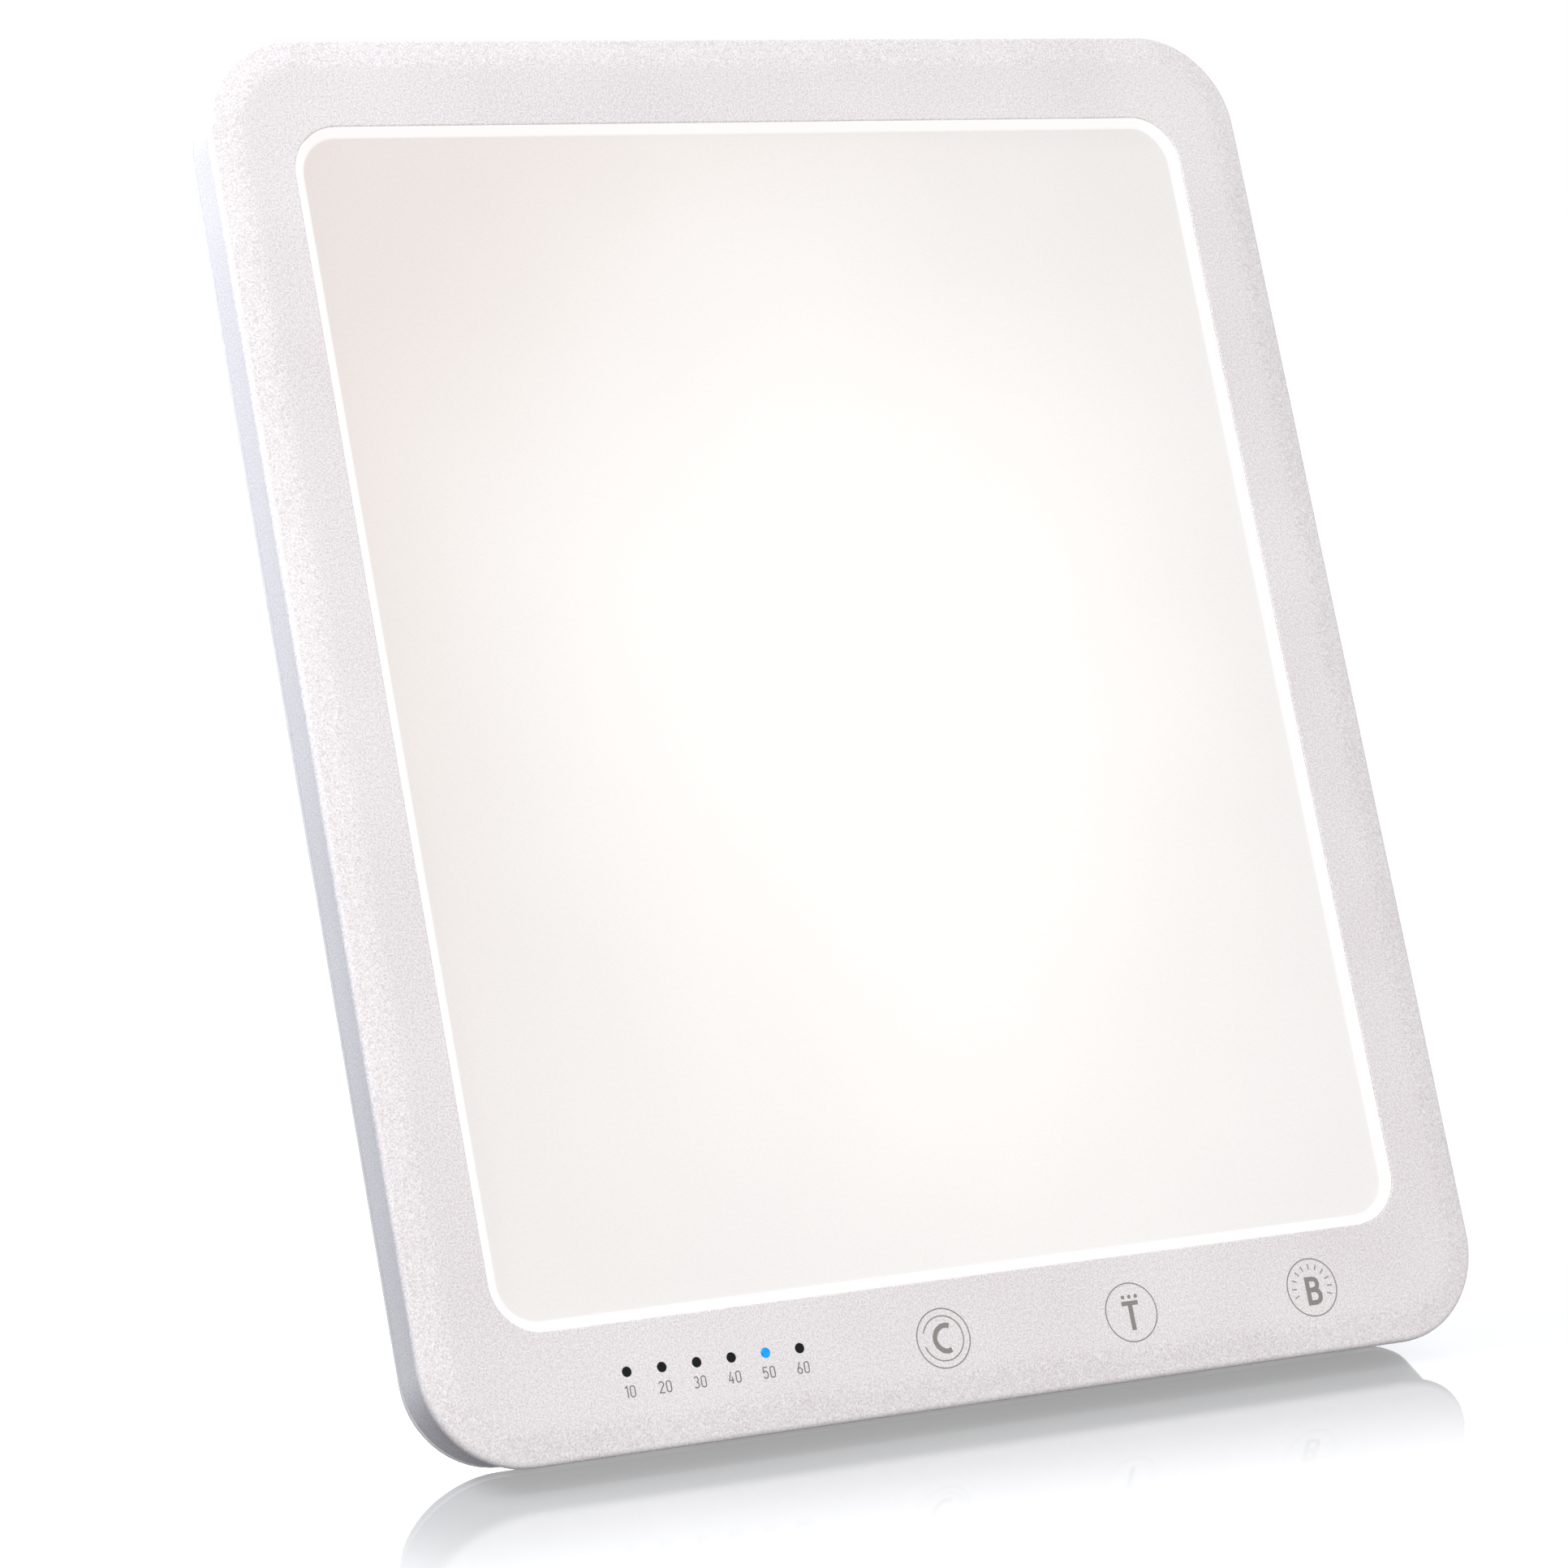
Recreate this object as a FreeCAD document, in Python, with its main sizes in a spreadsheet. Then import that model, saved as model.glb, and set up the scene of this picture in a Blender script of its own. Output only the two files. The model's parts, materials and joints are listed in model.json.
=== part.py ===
import FreeCAD, Part
import math
import os
import re
import Sketcher

# Light therapy lamp: a slim upright light panel that leans back on a fold-out leg.
# The panel is drawn in its own upright frame: X across, Y from the face to the back, Z up the face,
# with the origin in the middle of the face. It is then leaned back and set down on its feet.

doc = FreeCAD.newDocument("TherapyLamp")
sheet = doc.addObject("Spreadsheet::Sheet", "Sizes")

drivingSizes = [
    ("panelWidth", 198.4, "front plate, edge to edge"),
    ("panelHeight", 238, "front plate, bottom to top"),
    ("cornerRadius", 17, "outer corners of the front plate"),
    ("leanAngle", 22.5, "lean back from upright, degrees"),
    ("shoulderWidth", 5, "sloped shoulder along the edge of the face"),
    ("shoulderDrop", 1, "how far the shoulder falls"),
    ("rimRound", 1.4, "round between shoulder and rim"),
    ("rimUnderBevel", 0.3, "bevel under the overhanging rim"),
    ("rimDepth", 2.8, "thickness of the overhanging rim"),
    ("rimInset", 2, "how far the side wall stands in from the rim"),
    ("shellWall", 2, "side wall of the front cover"),
    ("faceWall", 2.2, "face of the front cover"),
    ("rearWall", 2.4, "wall of the rear cover"),
    ("rearRound", 1.6, "round of the rear cover's edge"),
    ("seamGap", 0.3, "open seam between the two covers"),
    ("tongueFit", 0.2, "clearance of the rear cover's tongue"),
    ("tongueWall", 1.2, "tongue of the rear cover"),
    ("tongueLength", 2.2, "how far the tongue reaches in"),
    ("sideBorder", 13.7, "face beside the window"),
    ("topBorder", 15.8, "face above the window"),
    ("footBorder", 20.7, "face below the window"),
    ("windowRadius", 8.5, "corners of the window"),
    ("windowGap", 0.1, "gap round the diffuser in the window"),
    ("bevelWidth", 1.8, "bright bevel round the diffuser"),
    ("bevelDepth", 1.1, "how far the bevel falls"),
    ("bevelStep", 0.15, "top of the bevel below the face"),
    ("bevelLand", 0.1, "flat land outside the bevel"),
    ("diffuserThickness", 2, "flat of the diffuser"),
    ("sheetReach", 2, "how far the light sheets reach behind the face"),
    ("sheetCorner", 1.5, "corners of the light sheets"),
    ("filmThickness", 0.3, "diffuser film"),
    ("guideThickness", 3, "light guide"),
    ("reflectorThickness", 0.3, "reflector sheet"),
    ("trayThickness", 1, "sheet of the heat tray"),
    ("trayFold", 1.4, "outer fold radius of the heat tray"),
    ("trayGap", 0.3, "gap between tray and light sheets"),
    ("trayFit", 0.5, "gap between the tray and the ribs that place it"),
    ("foldEdge", 0.2, "edge left inside the bevelled fold of the heat tray"),
    ("tabLength", 8, "screw tabs of the heat tray"),
    ("tabGap", 0.6, "gap between the tabs and the side wall"),
    ("tabBossOut", 2.5, "bosses of the heat tray outside its edge"),
    ("notchFit", 0.6, "room round the strips where they leave the tray"),
    ("tabHeight", 70, "screw tabs above and below the middle of the window"),
    ("stripThickness", 1, "board of the light strips"),
    ("stripHeight", 3.4, "board of the light strips, across the panel"),
    ("stripTail", 2.4, "tail of the light strips below the tray"),
    ("stripEndGap", 1, "gap above the light strips"),
    ("chipThickness", 0.8, "light chips"),
    ("chipWidth", 2.8, "light chips along the strip"),
    ("chipDeep", 1.4, "light chips, front to back"),
    ("chipEnd", 7.15, "last light chip in from the end of the window"),
    ("chipCount", 27, "light chips on each strip"),
    ("bayGap", 0.3, "gap between heat tray and stand bay"),
    ("bayWall", 1.5, "floor of the stand bay"),
    ("baySideWall", 1.8, "side walls of the stand bay"),
    ("bayEndGap", 0.9, "gap at the end of the folded leg"),
    ("scoopRadius", 8, "finger scoops beside the folded leg"),
    ("scoopHeight", 20, "finger scoops above the end of the bay"),
    ("scoopShift", 1, "finger scoops outside the corner of the bay"),
    ("legGap", 0.35, "gap between the folded leg and the floor of the bay"),
    ("legThickness", 6, "stand leg"),
    ("legWidth", 64, "stand leg at the hinge"),
    ("legFootWidth", 54, "stand leg at the foot"),
    ("legCorner", 10, "corner radius at the foot of the leg"),
    ("taperDrop", 6, "start of the leg's taper below the hinge"),
    ("legSideGap", 0.9, "gap beside the leg"),
    ("legSkin", 2.2, "outer skin of the ribbed leg"),
    ("legRib", 1.6, "ribs of the leg"),
    ("legCellCount", 5, "rows of hollows between the ribs"),
    ("cellTop", 4, "highest hollow below the start of the taper"),
    ("cellFoot", 2, "lowest hollow above the socket of the rubber tip"),
    ("cellSide", 3, "hollows in from the foot's half width"),
    ("heelHeight", 6.5, "stop heel above the hinge"),
    ("heelGap", 0.7, "gap over the heel as it swings"),
    ("hingeHeight", 4, "hinge axis above the middle of the plate"),
    ("openAngle", 34, "angle between open leg and panel, degrees"),
    ("pinDiameter", 3, "hinge pins"),
    ("pinFit", 0.05, "radial clearance of the pins in the leg"),
    ("pinInLeg", 14.5, "hinge pins inside the leg"),
    ("pinEndGap", 0.6, "hinge pins short of the clamp's outer side"),
    ("washerThickness", 0.5, "friction washers"),
    ("washerDiameter", 5.8, "friction washers"),
    ("clampWidth", 7.6, "hinge clamps along the pin"),
    ("clampHeight", 22, "hinge clamps along the panel"),
    ("clampThickness", 3.4, "hinge clamps"),
    ("clampFit", 0.2, "gap between the hinge clamps and the bay"),
    ("clampScrewInset", 3.4, "clamp screws in from the ends of the clamp"),
    ("clampScrewGrip", 1.4, "clamp screws inside the rear cover"),
    ("footStand", 0.4, "how far the feet stand proud"),
    ("footLength", 28, "rubber feet"),
    ("footInset", 37.2, "middle of the rubber feet in from the sides of the plate"),
    ("footWidth", 1.8, "rubber feet, front to back"),
    ("footSink", 1.1, "how deep the feet sit in the rear cover"),
    ("footBackInset", 0.4, "rubber feet in from the back"),
    ("tipWidth", 34, "rubber tip of the leg"),
    ("tipHeight", 4, "rubber tip of the leg"),
    ("tipStand", 0.6, "how far the rubber tip stands proud"),
    ("tongueOfTip", 3, "tongue that holds the rubber tip"),
    ("tipKeyWall", 2, "thickness of that tongue"),
    ("tipKeyInset", 2, "tongue in from the sides of the tip"),
    ("postSeat", 9, "plane where screw posts and bosses meet"),
    ("postDiameter", 7.6, "screw posts of the rear cover"),
    ("bossDiameter", 6.4, "screw bosses of the front cover"),
    ("coverScrewDiameter", 2.6, "shank of the cover screws"),
    ("coverScrewHead", 5.2, "head of the cover screws"),
    ("coverScrewHeadHeight", 1.8, "head of the cover screws"),
    ("headClearance", 0.4, "clearance round a sunk screw head"),
    ("coverScrewSeat", 2, "material under the heads of the cover screws"),
    ("coverScrewGrip", 4.8, "cover screws inside the bosses"),
    ("coverHoleFit", 0.4, "holes wider than the cover screws"),
    ("pilotSpare", 0.6, "pilot holes deeper than the screws reach"),
    ("pilotFloor", 0.8, "material under the clamp pilots"),
    ("bossSideInset", 10.4, "lower screws in from the sides of the plate"),
    ("bossTopInset", 14, "upper screws in from the sides of the plate"),
    ("bossEndInset", 9, "upper screws below the top of the plate"),
    ("bossFootInset", 11, "lower screws above the bottom of the plate"),
    ("smallScrewDiameter", 2, "shank of the small screws"),
    ("smallScrewHead", 3.8, "head of the small screws"),
    ("smallScrewHeadHeight", 1.3, "head of the small screws"),
    ("smallScrewGrip", 3.2, "tray screws inside their bosses"),
    ("boardScrewGrip", 2.6, "board screws inside their bosses"),
    ("smallHoleFit", 0.2, "holes wider than the small screws"),
    ("smallBossDiameter", 4.4, "bosses for the small screws"),
    ("stopRibWall", 1.2, "ribs that place the heat tray"),
    ("stopRibHeight", 2.8, "ribs that place the heat tray"),
    ("stopRibInset", 10, "ends of those ribs in from the window's ends"),
    ("backRibWall", 1.2, "stiffening ribs of the rear cover"),
    ("backRibHeight", 2, "stiffening ribs of the rear cover"),
    ("backRibInset", 37.2, "stiffening ribs in from the sides"),
    ("backRibFoot", 33, "stiffening ribs above the bottom of the plate"),
    ("backRibTop", 19, "stiffening ribs below the top of the plate"),
    ("keyDrop", 9.55, "touch keys below the window"),
    ("keyPitch", 36, "spacing of the touch keys"),
    ("keyInset", 34.4, "last touch key in from the right side"),
    ("keyPadDiameter", 9, "touch electrodes"),
    ("lensDrop", 7.95, "indicator lenses below the window"),
    ("lensInset", 34.7, "first indicator lens in from the left side"),
    ("lensPitch", 6.2, "spacing of the indicator lenses"),
    ("lensCount", 6, "indicator lenses"),
    ("lensDiameter", 1.6, "indicator lenses"),
    ("lensFit", 0.05, "gap round the indicator lenses"),
    ("collarDiameter", 2.6, "collar behind each lens"),
    ("collarThickness", 1, "collar behind each lens"),
    ("indicatorHeight", 1, "indicator lights on the board"),
    ("indicatorWidth", 1.6, "indicator lights on the board"),
    ("indicatorTall", 0.8, "indicator lights on the board"),
    ("boardThickness", 1.6, "control board"),
    ("boardGap", 2.2, "control board behind the face"),
    ("boardTrayGap", 0.45, "control board below the heat tray"),
    ("boardFootInset", 4.9, "control board above the bottom of the plate"),
    ("boardLeftInset", 25.2, "control board in from the left side"),
    ("boardRightInset", 14.4, "control board in from the right side"),
    ("boardScrewInset", 3.5, "board screw in from the left end of the board"),
    ("boardScrewDrop", 3.1, "board screws below the middle of the board"),
    ("controllerSize", 7, "controller chip"),
    ("controllerTall", 1, "controller chip"),
    ("controllerShift", 17.2, "controller chip to the right of the first key"),
    ("driverWidth", 5, "driver chip"),
    ("driverHeight", 4, "driver chip"),
    ("driverTall", 1.4, "driver chip"),
    ("driverInset", 28, "driver chip in from the left end of the board"),
    ("coilSize", 7, "inductor"),
    ("coilTall", 4.2, "inductor"),
    ("coilShift", 22, "inductor to the left of the power inlet"),
    ("coilRise", 2, "inductor above the middle of the board"),
    ("canDiameter", 6.3, "capacitor"),
    ("canTall", 5.4, "capacitor"),
    ("canShift", 10, "capacitor to the left of the power inlet"),
    ("jackInset", 23.2, "power inlet in from the right side"),
    ("jackBase", 10, "base of the power inlet"),
    ("jackBaseHeight", 5, "base of the power inlet"),
    ("jackBarrel", 8.4, "barrel of the power inlet"),
    ("jackHoleFit", 0.2, "gap round the barrel"),
    ("jackSink", 0.1, "mouth of the power inlet below the back"),
    ("jackBore", 5.6, "socket of the power inlet"),
    ("jackDepth", 9, "socket of the power inlet"),
    ("jackPin", 2.1, "centre pin of the power inlet"),
    ("jackPinSink", 1.5, "centre pin below the mouth"),
    ("wireDiameter", 1.2, "wires of the light strips"),
    ("wireBend", 2.5, "bend of the wires"),
    ("wireGap", 0.1, "gap between two wires"),
    ("wireInset", 1.3, "wires in from the ends of the board"),
    ("past", 1, "how far a cut runs past the material"),
]

for row, (alias, number, note) in enumerate(drivingSizes, start=1):
    sheet.set(f"A{row}", note)
    sheet.set(f"B{row}", str(number))
    sheet.setAlias(f"B{row}", alias)
doc.recompute()

# Sizes that follow from the driving ones, in the words of the sheet.
derived = {
    # depths, front to back
    "diffuserFront": "bevelStep + bevelDepth",
    "diffuserBack": "diffuserFront + diffuserThickness",
    "filmBack": "diffuserBack + filmThickness",
    "guideBack": "filmBack + guideThickness",
    "reflectorBack": "guideBack + reflectorThickness",
    "trayBack": "reflectorBack + trayThickness",
    "bayFront": "trayBack + bayGap",
    "bayFloor": "bayFront + bayWall",
    "legFront": "bayFloor + legGap",
    "panelDepth": "legFront + legThickness",
    "partingDepth": "panelDepth - rearWall",
    "sideBack": "partingDepth - seamGap",
    "boardFront": "faceWall + boardGap",
    "boardBack": "boardFront + boardThickness",
    # outlines
    "windowWidth": "panelWidth - 2 * sideBorder",
    "windowHeight": "panelHeight - topBorder - footBorder",
    "windowRise": "(footBorder - topBorder) / 2",
    "sideInset": "rimInset + shellWall",
    "tongueInset": "sideInset + tongueFit",
    "sheetWidth": "windowWidth + 2 * sheetReach",
    "sheetTall": "windowHeight + 2 * sheetReach",
    "stripSeat": "sheetWidth / 2 + trayGap + chipThickness + stripThickness",
    "trayWidth": "2 * (stripSeat + trayThickness)",
    "trayTall": "sheetTall + 2 * (trayGap + trayThickness)",
    "trayFoot": "windowRise - trayTall / 2",
    "tabReach": "panelWidth / 2 - sideInset - tabGap",
    "tabBoss": "trayWidth / 2 + tabBossOut",
    "chipPitch": "(windowHeight - 2 * chipEnd) / (chipCount - 1)",
    # hinge and leg, drawn folded into the bay
    "hingeDepth": "panelDepth - legThickness / 2",
    "footAngle": "openAngle - leanAngle",
    "floorDrop": "cos(leanAngle) * (panelHeight / 2 - rimInset - rearRound)"
                 " + sin(leanAngle) * (panelDepth - rearRound) + rearRound + footStand",
    "hingeAboveFloor": "floorDrop + cos(leanAngle) * hingeHeight - sin(leanAngle) * hingeDepth",
    "tipOuter": "hingeHeight - (hingeAboveFloor + legThickness / 2 * sin(footAngle)) / cos(footAngle)",
    "tipInner": "hingeHeight - (hingeAboveFloor - legThickness / 2 * sin(footAngle)) / cos(footAngle)",
    "legEndOuter": "tipOuter + tipStand",
    "legEndInner": "tipInner + tipStand",
    "taperStart": "hingeHeight - taperDrop",
    "cellStart": "taperStart - cellTop",
    "cellEnd": "legEndInner + tipHeight + tongueOfTip + cellFoot",
    "cellHeight": "(cellStart - cellEnd - legRib * (legCellCount - 1)) / legCellCount",
    "heelTop": "hingeHeight + heelHeight",
    "heelThin": "(heelHeight * sin(openAngle) - legThickness / 2) / cos(openAngle)",
    "bayTop": "hingeHeight + sqrt(heelHeight * heelHeight + legThickness * legThickness / 4) + heelGap",
    "bayEnd": "tipOuter - bayEndGap",
    "bayHalf": "legWidth / 2 + legSideGap",
    "bayFootHalf": "legFootWidth / 2 + legSideGap",
    "scoopLevel": "bayEnd + scoopHeight",
    "pinReach": "bayHalf + baySideWall + clampFit + clampWidth",
    # feet
    "sideFoot": "panelHeight / 2 - rimInset",
    "footBack": "panelDepth - footBackInset",
    "footFront": "footBack - footWidth",
    "footPlace": "panelWidth / 2 - footInset",
    # rows on the face
    "windowFoot": "footBorder - panelHeight / 2",
    "keyLevel": "windowFoot - keyDrop",
    "lensLevel": "windowFoot - lensDrop",
    "firstKey": "panelWidth / 2 - keyInset - 2 * keyPitch",
    "firstLens": "lensInset - panelWidth / 2",
    "boardLeft": "panelWidth / 2 - boardLeftInset",
    "boardRight": "panelWidth / 2 - boardRightInset",
    "boardHeight": "trayFoot - boardTrayGap - boardFootInset + panelHeight / 2",
    "jackOffset": "panelWidth / 2 - jackInset",
    "boardLevel": "boardFootInset + boardHeight / 2 - panelHeight / 2",
    "upperScrewLevel": "panelHeight / 2 - bossEndInset",
    "lowerScrewLevel": "bossFootInset - panelHeight / 2",
}

aliases = {alias for alias, number, note in drivingSizes}


def formula(text):
    """Writes out derived names and points every size at its cell."""
    def swap(match):
        word = match.group()
        if word in derived:
            return "(" + formula(derived[word]) + ")"
        if word in aliases:
            return "Sizes." + word
        return word
    return re.sub(r"[A-Za-z_]\w*", swap, text)


def number(text):
    return float(sheet.evalExpression(formula(text)))


# Helpers for bodies, sketches and features.

allBodies = {}


def newBody(label):
    body = doc.addObject("PartDesign::Body", label)
    body.Label = label
    body.AllowCompound = True
    allBodies[label] = body
    return body


def sketchAt(body, name, offset, plane="XZ_Plane"):
    """A sketch across the panel at a depth, or across X at a place along X."""
    sketch = body.newObject("Sketcher::SketchObject", body.Label + "_" + name)
    origin = [item for item in body.Origin.OriginFeatures if item.Role == plane][0]
    sketch.AttachmentSupport = (origin, "")
    sketch.MapMode = "FlatFace"
    sign = "-" if plane == "XZ_Plane" else ""
    sketch.setExpression(".AttachmentOffset.Base.z", formula(f"{sign}({offset})"))
    doc.recompute()
    return sketch


def fix(sketch, kind, *arguments):
    """A constraint whose value follows the sheet."""
    *where, text = arguments
    index = sketch.addConstraint(Sketcher.Constraint(kind, *where, number(text)))
    sketch.setExpression(f"Constraints[{index}]", formula(text))


def at(sketch, geometry, point, x, y):
    fix(sketch, "DistanceX", -1, 1, geometry, point, x)
    fix(sketch, "DistanceY", -1, 1, geometry, point, y)


def circle(sketch, x, y, diameter):
    centre = FreeCAD.Vector(number(x), number(y), 0)
    shape = Part.Circle(centre, FreeCAD.Vector(0, 0, 1), number(diameter) / 2)
    index = sketch.addGeometry(shape, False)
    fix(sketch, "Diameter", index, diameter)
    at(sketch, index, 3, x, y)


def polygon(sketch, corners):
    """A closed outline of straight sides through corners given in words."""
    points = [FreeCAD.Vector(number(x), number(y), 0) for x, y in corners]
    first = sketch.GeometryCount
    for start, end in zip(points, points[1:] + points[:1]):
        sketch.addGeometry(Part.LineSegment(start, end), False)
    for step, (x, y) in enumerate(corners):
        before = first + (step - 1) % len(corners)
        sketch.addConstraint(Sketcher.Constraint("Coincident", before, 2, first + step, 1))
        at(sketch, first + step, 1, x, y)


def eightFlats(sketch, x, y, diameter):
    """An octagon measured across its flats."""
    reach = f"({diameter}) / 2"
    notch = f"({diameter}) / 2 * (sqrt(2) - 1)"
    offsets = [(reach, notch), (notch, reach), (f"-({notch})", reach), (f"-({reach})", notch)]
    offsets += [(f"-({across})", f"-({up})") for across, up in offsets[:2]]
    offsets += [(notch, f"-({reach})"), (reach, f"-({notch})")]
    polygon(sketch, [(f"{x} + {across}", f"{y} + {up}") for across, up in offsets])


def rectangle(sketch, left, right, bottom, top):
    polygon(sketch, [(left, bottom), (right, bottom), (right, top), (left, top)])


def rounded(sketch, width, height, radius, rise="0"):
    """A rectangle with round corners, centred across and raised by rise."""
    halfWidth = number(width) / 2
    halfHeight = number(height) / 2
    corner = number(radius)
    middle = number(rise)
    first = sketch.GeometryCount
    turns = [(1, 1), (-1, 1), (-1, -1), (1, -1)]
    for quarter, (sideways, upward) in enumerate(turns):
        centre = FreeCAD.Vector(sideways * (halfWidth - corner), middle + upward * (halfHeight - corner), 0)
        round_ = Part.Circle(centre, FreeCAD.Vector(0, 0, 1), corner)
        start = quarter * math.pi / 2
        sketch.addGeometry(Part.ArcOfCircle(round_, start, start + math.pi / 2), False)
    arcs = [sketch.Geometry[first + quarter] for quarter in range(4)]
    for quarter in range(4):
        following = arcs[(quarter + 1) % 4]
        sketch.addGeometry(Part.LineSegment(arcs[quarter].EndPoint, following.StartPoint), False)
    for quarter in range(4):
        line = first + 4 + quarter
        following = first + (quarter + 1) % 4
        sketch.addConstraint(Sketcher.Constraint("Tangent", first + quarter, 2, line, 1))
        sketch.addConstraint(Sketcher.Constraint("Tangent", line, 2, following, 1))
        direction = "Horizontal" if quarter % 2 == 0 else "Vertical"
        sketch.addConstraint(Sketcher.Constraint(direction, line))
    for quarter in range(1, 4):
        sketch.addConstraint(Sketcher.Constraint("Equal", first, first + quarter))
    fix(sketch, "Radius", first, radius)
    fix(sketch, "DistanceY", -1, 1, first + 4, 1, f"{rise} + ({height}) / 2")
    fix(sketch, "DistanceX", -1, 1, first + 5, 1, f"-({width}) / 2")
    fix(sketch, "DistanceY", -1, 1, first + 6, 1, f"{rise} - ({height}) / 2")
    fix(sketch, "DistanceX", -1, 1, first + 7, 1, f"({width}) / 2")


def volume(body):
    doc.recompute()
    return body.Shape.Volume if not body.Shape.isNull() else 0


def pad(body, sketch, length, midplane=False):
    """Adds material from the sketch towards the back, or both ways along X."""
    before = volume(body)
    feature = body.newObject("PartDesign::Pad", sketch.Name.replace("Sketch", "Pad"))
    feature.Profile = sketch
    feature.Midplane = midplane
    feature.Reversed = not midplane and sketch.AttachmentSupport[0][0].Role == "XZ_Plane"
    feature.setExpression("Length", formula(length))
    if volume(body) <= before:
        raise ValueError("nothing was added by " + sketch.Name)
    return feature


def cut(body, sketch, length, midplane=False):
    """Removes material from the sketch towards the back, or both ways along X."""
    before = volume(body)
    feature = body.newObject("PartDesign::Pocket", sketch.Name.replace("Sketch", "Cut"))
    feature.Profile = sketch
    feature.Midplane = midplane
    feature.Reversed = not midplane and sketch.AttachmentSupport[0][0].Role != "XZ_Plane"
    feature.setExpression("Length", formula(length))
    if volume(body) >= before:
        raise ValueError("nothing was cut by " + sketch.Name)
    return feature


def slab(body, name, front, back, width, height, radius, rise="0", remove=False):
    """A plate, or a hollow, with a rounded outline between two depths."""
    sketch = sketchAt(body, name + "Sketch", front)
    rounded(sketch, width, height, radius, rise)
    return (cut if remove else pad)(body, sketch, f"({back}) - ({front})")


def block(body, name, front, back, left, right, bottom, top, remove=False):
    """A straight block, or a hollow, between two depths."""
    sketch = sketchAt(body, name + "Sketch", front)
    rectangle(sketch, left, right, bottom, top)
    return (cut if remove else pad)(body, sketch, f"({back}) - ({front})")


def rounds(body, name, front, back, places, diameter, remove=False, flats=False):
    """Round posts, or holes, between two depths, or small ones with eight flats."""
    sketch = sketchAt(body, name + "Sketch", front)
    for x, y in places:
        (eightFlats if flats else circle)(sketch, x, y, diameter)
    return (cut if remove else pad)(body, sketch, f"({back}) - ({front})")


def taperedSlab(body, name, front, back, frontOutline, backOutline, rise="0", remove=False):
    """A loft between two rounded outlines, each given as width, height and radius."""
    before = volume(body)
    sketches = []
    for suffix, depth, outline in (("Front", front, frontOutline), ("Back", back, backOutline)):
        sketch = sketchAt(body, name + suffix + "Sketch", depth)
        rounded(sketch, *outline, rise)
        sketches.append(sketch)
    kind = "PartDesign::SubtractiveLoft" if remove else "PartDesign::AdditiveLoft"
    feature = body.newObject(kind, body.Label + "_" + name + "Loft")
    feature.Profile = sketches[0]
    feature.Sections = [sketches[1]]
    feature.Ruled = True
    after = volume(body)
    if (after >= before) if remove else (after <= before):
        raise ValueError("the loft changed nothing: " + name)
    return feature


def repeat(body, feature, count, spacing, upward=False):
    """Copies a feature along X, or up the panel."""
    pattern = body.newObject("PartDesign::LinearPattern", feature.Name + "Row")
    pattern.Originals = [feature]
    sketch = feature.Profile[0]
    pattern.Direction = (sketch, ["V_Axis" if upward else "H_Axis"])
    pattern.Mode = "Spacing"
    pattern.setExpression("Offset", formula(spacing))
    pattern.setExpression("Occurrences", formula(count))
    body.Tip = pattern
    doc.recompute()
    return pattern


def roundEdges(body, name, radius, test):
    """Rounds the edges of the body's last shape that pass the test."""
    base = body.Tip
    names = [f"Edge{index}" for index, edge in enumerate(base.Shape.Edges, start=1) if test(edge)]
    if not names:
        raise ValueError("no edge to round: " + name)
    feature = body.newObject("PartDesign::Fillet", body.Label + "_" + name)
    feature.Base = (base, names)
    feature.setExpression("Radius", formula(radius))
    doc.recompute()
    return feature


def near(first, second):
    return abs(first - second) < 0.02


def onRim(depth, width, height, rise="0"):
    """Edges of the outline of this size that lie at one depth."""
    def test(edge):
        box = edge.BoundBox
        if not (near(box.YMin, number(depth)) and near(box.YMax, number(depth))):
            return False
        reach = max(abs(box.XMin), abs(box.XMax))
        lift = max(box.ZMax - number(rise), number(rise) - box.ZMin)
        return near(reach, number(width) / 2) or near(lift, number(height) / 2)
    return test


def alongDepth(spots):
    """Edges that run front to back through one of the spots."""
    places = [(number(x), number(z)) for x, z in spots]

    def test(edge):
        box = edge.BoundBox
        if box.YLength < 0.5 or box.XLength > 0.5:
            return False
        middle = box.Center
        return any(abs(middle.x - x) < 0.6 and abs(middle.z - z) < 1 for x, z in places)
    return test


def shrink(size, inset):
    return f"{size} - 2 * ({inset})"


def inset(amount):
    """Width, height and corner radius of the plate's outline moved in by an amount."""
    return (shrink("panelWidth", amount), shrink("panelHeight", amount), f"cornerRadius - ({amount})")


def mirrored(places):
    return places + [(f"-({x})", y) for x, y in places]


# Places that several pieces share.

sideScrewX = "panelWidth / 2 - bossSideInset"
topScrewX = "panelWidth / 2 - bossTopInset"
coverScrewPlaces = mirrored([(sideScrewX, "lowerScrewLevel"), (topScrewX, "upperScrewLevel")])
coverScrewPlaces.append(("0", "upperScrewLevel"))
tabLevels = ["windowRise + tabHeight", "windowRise - tabHeight"]
trayScrewPlaces = mirrored([("tabBoss", level) for level in tabLevels])
boardScrewLevel = "boardLevel - boardScrewDrop"
boardScrewPlaces = [("boardScrewInset - boardLeft", boardScrewLevel),
                    ("firstKey + 1.5 * keyPitch", boardScrewLevel)]
clampInner = "bayHalf + baySideWall + clampFit"
clampOuter = clampInner + " + clampWidth"
clampScrewX = clampInner + " + clampWidth / 2"
clampLevels = ["hingeHeight + clampHeight / 2 - clampScrewInset",
               "hingeHeight - clampHeight / 2 + clampScrewInset"]
clampScrewPlaces = mirrored([(clampScrewX, level) for level in clampLevels])
jackPlace = [("jackOffset", "boardLevel")]


# Front cover: one moulding with the sloped shoulder, the overhanging rim and the side wall.

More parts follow.
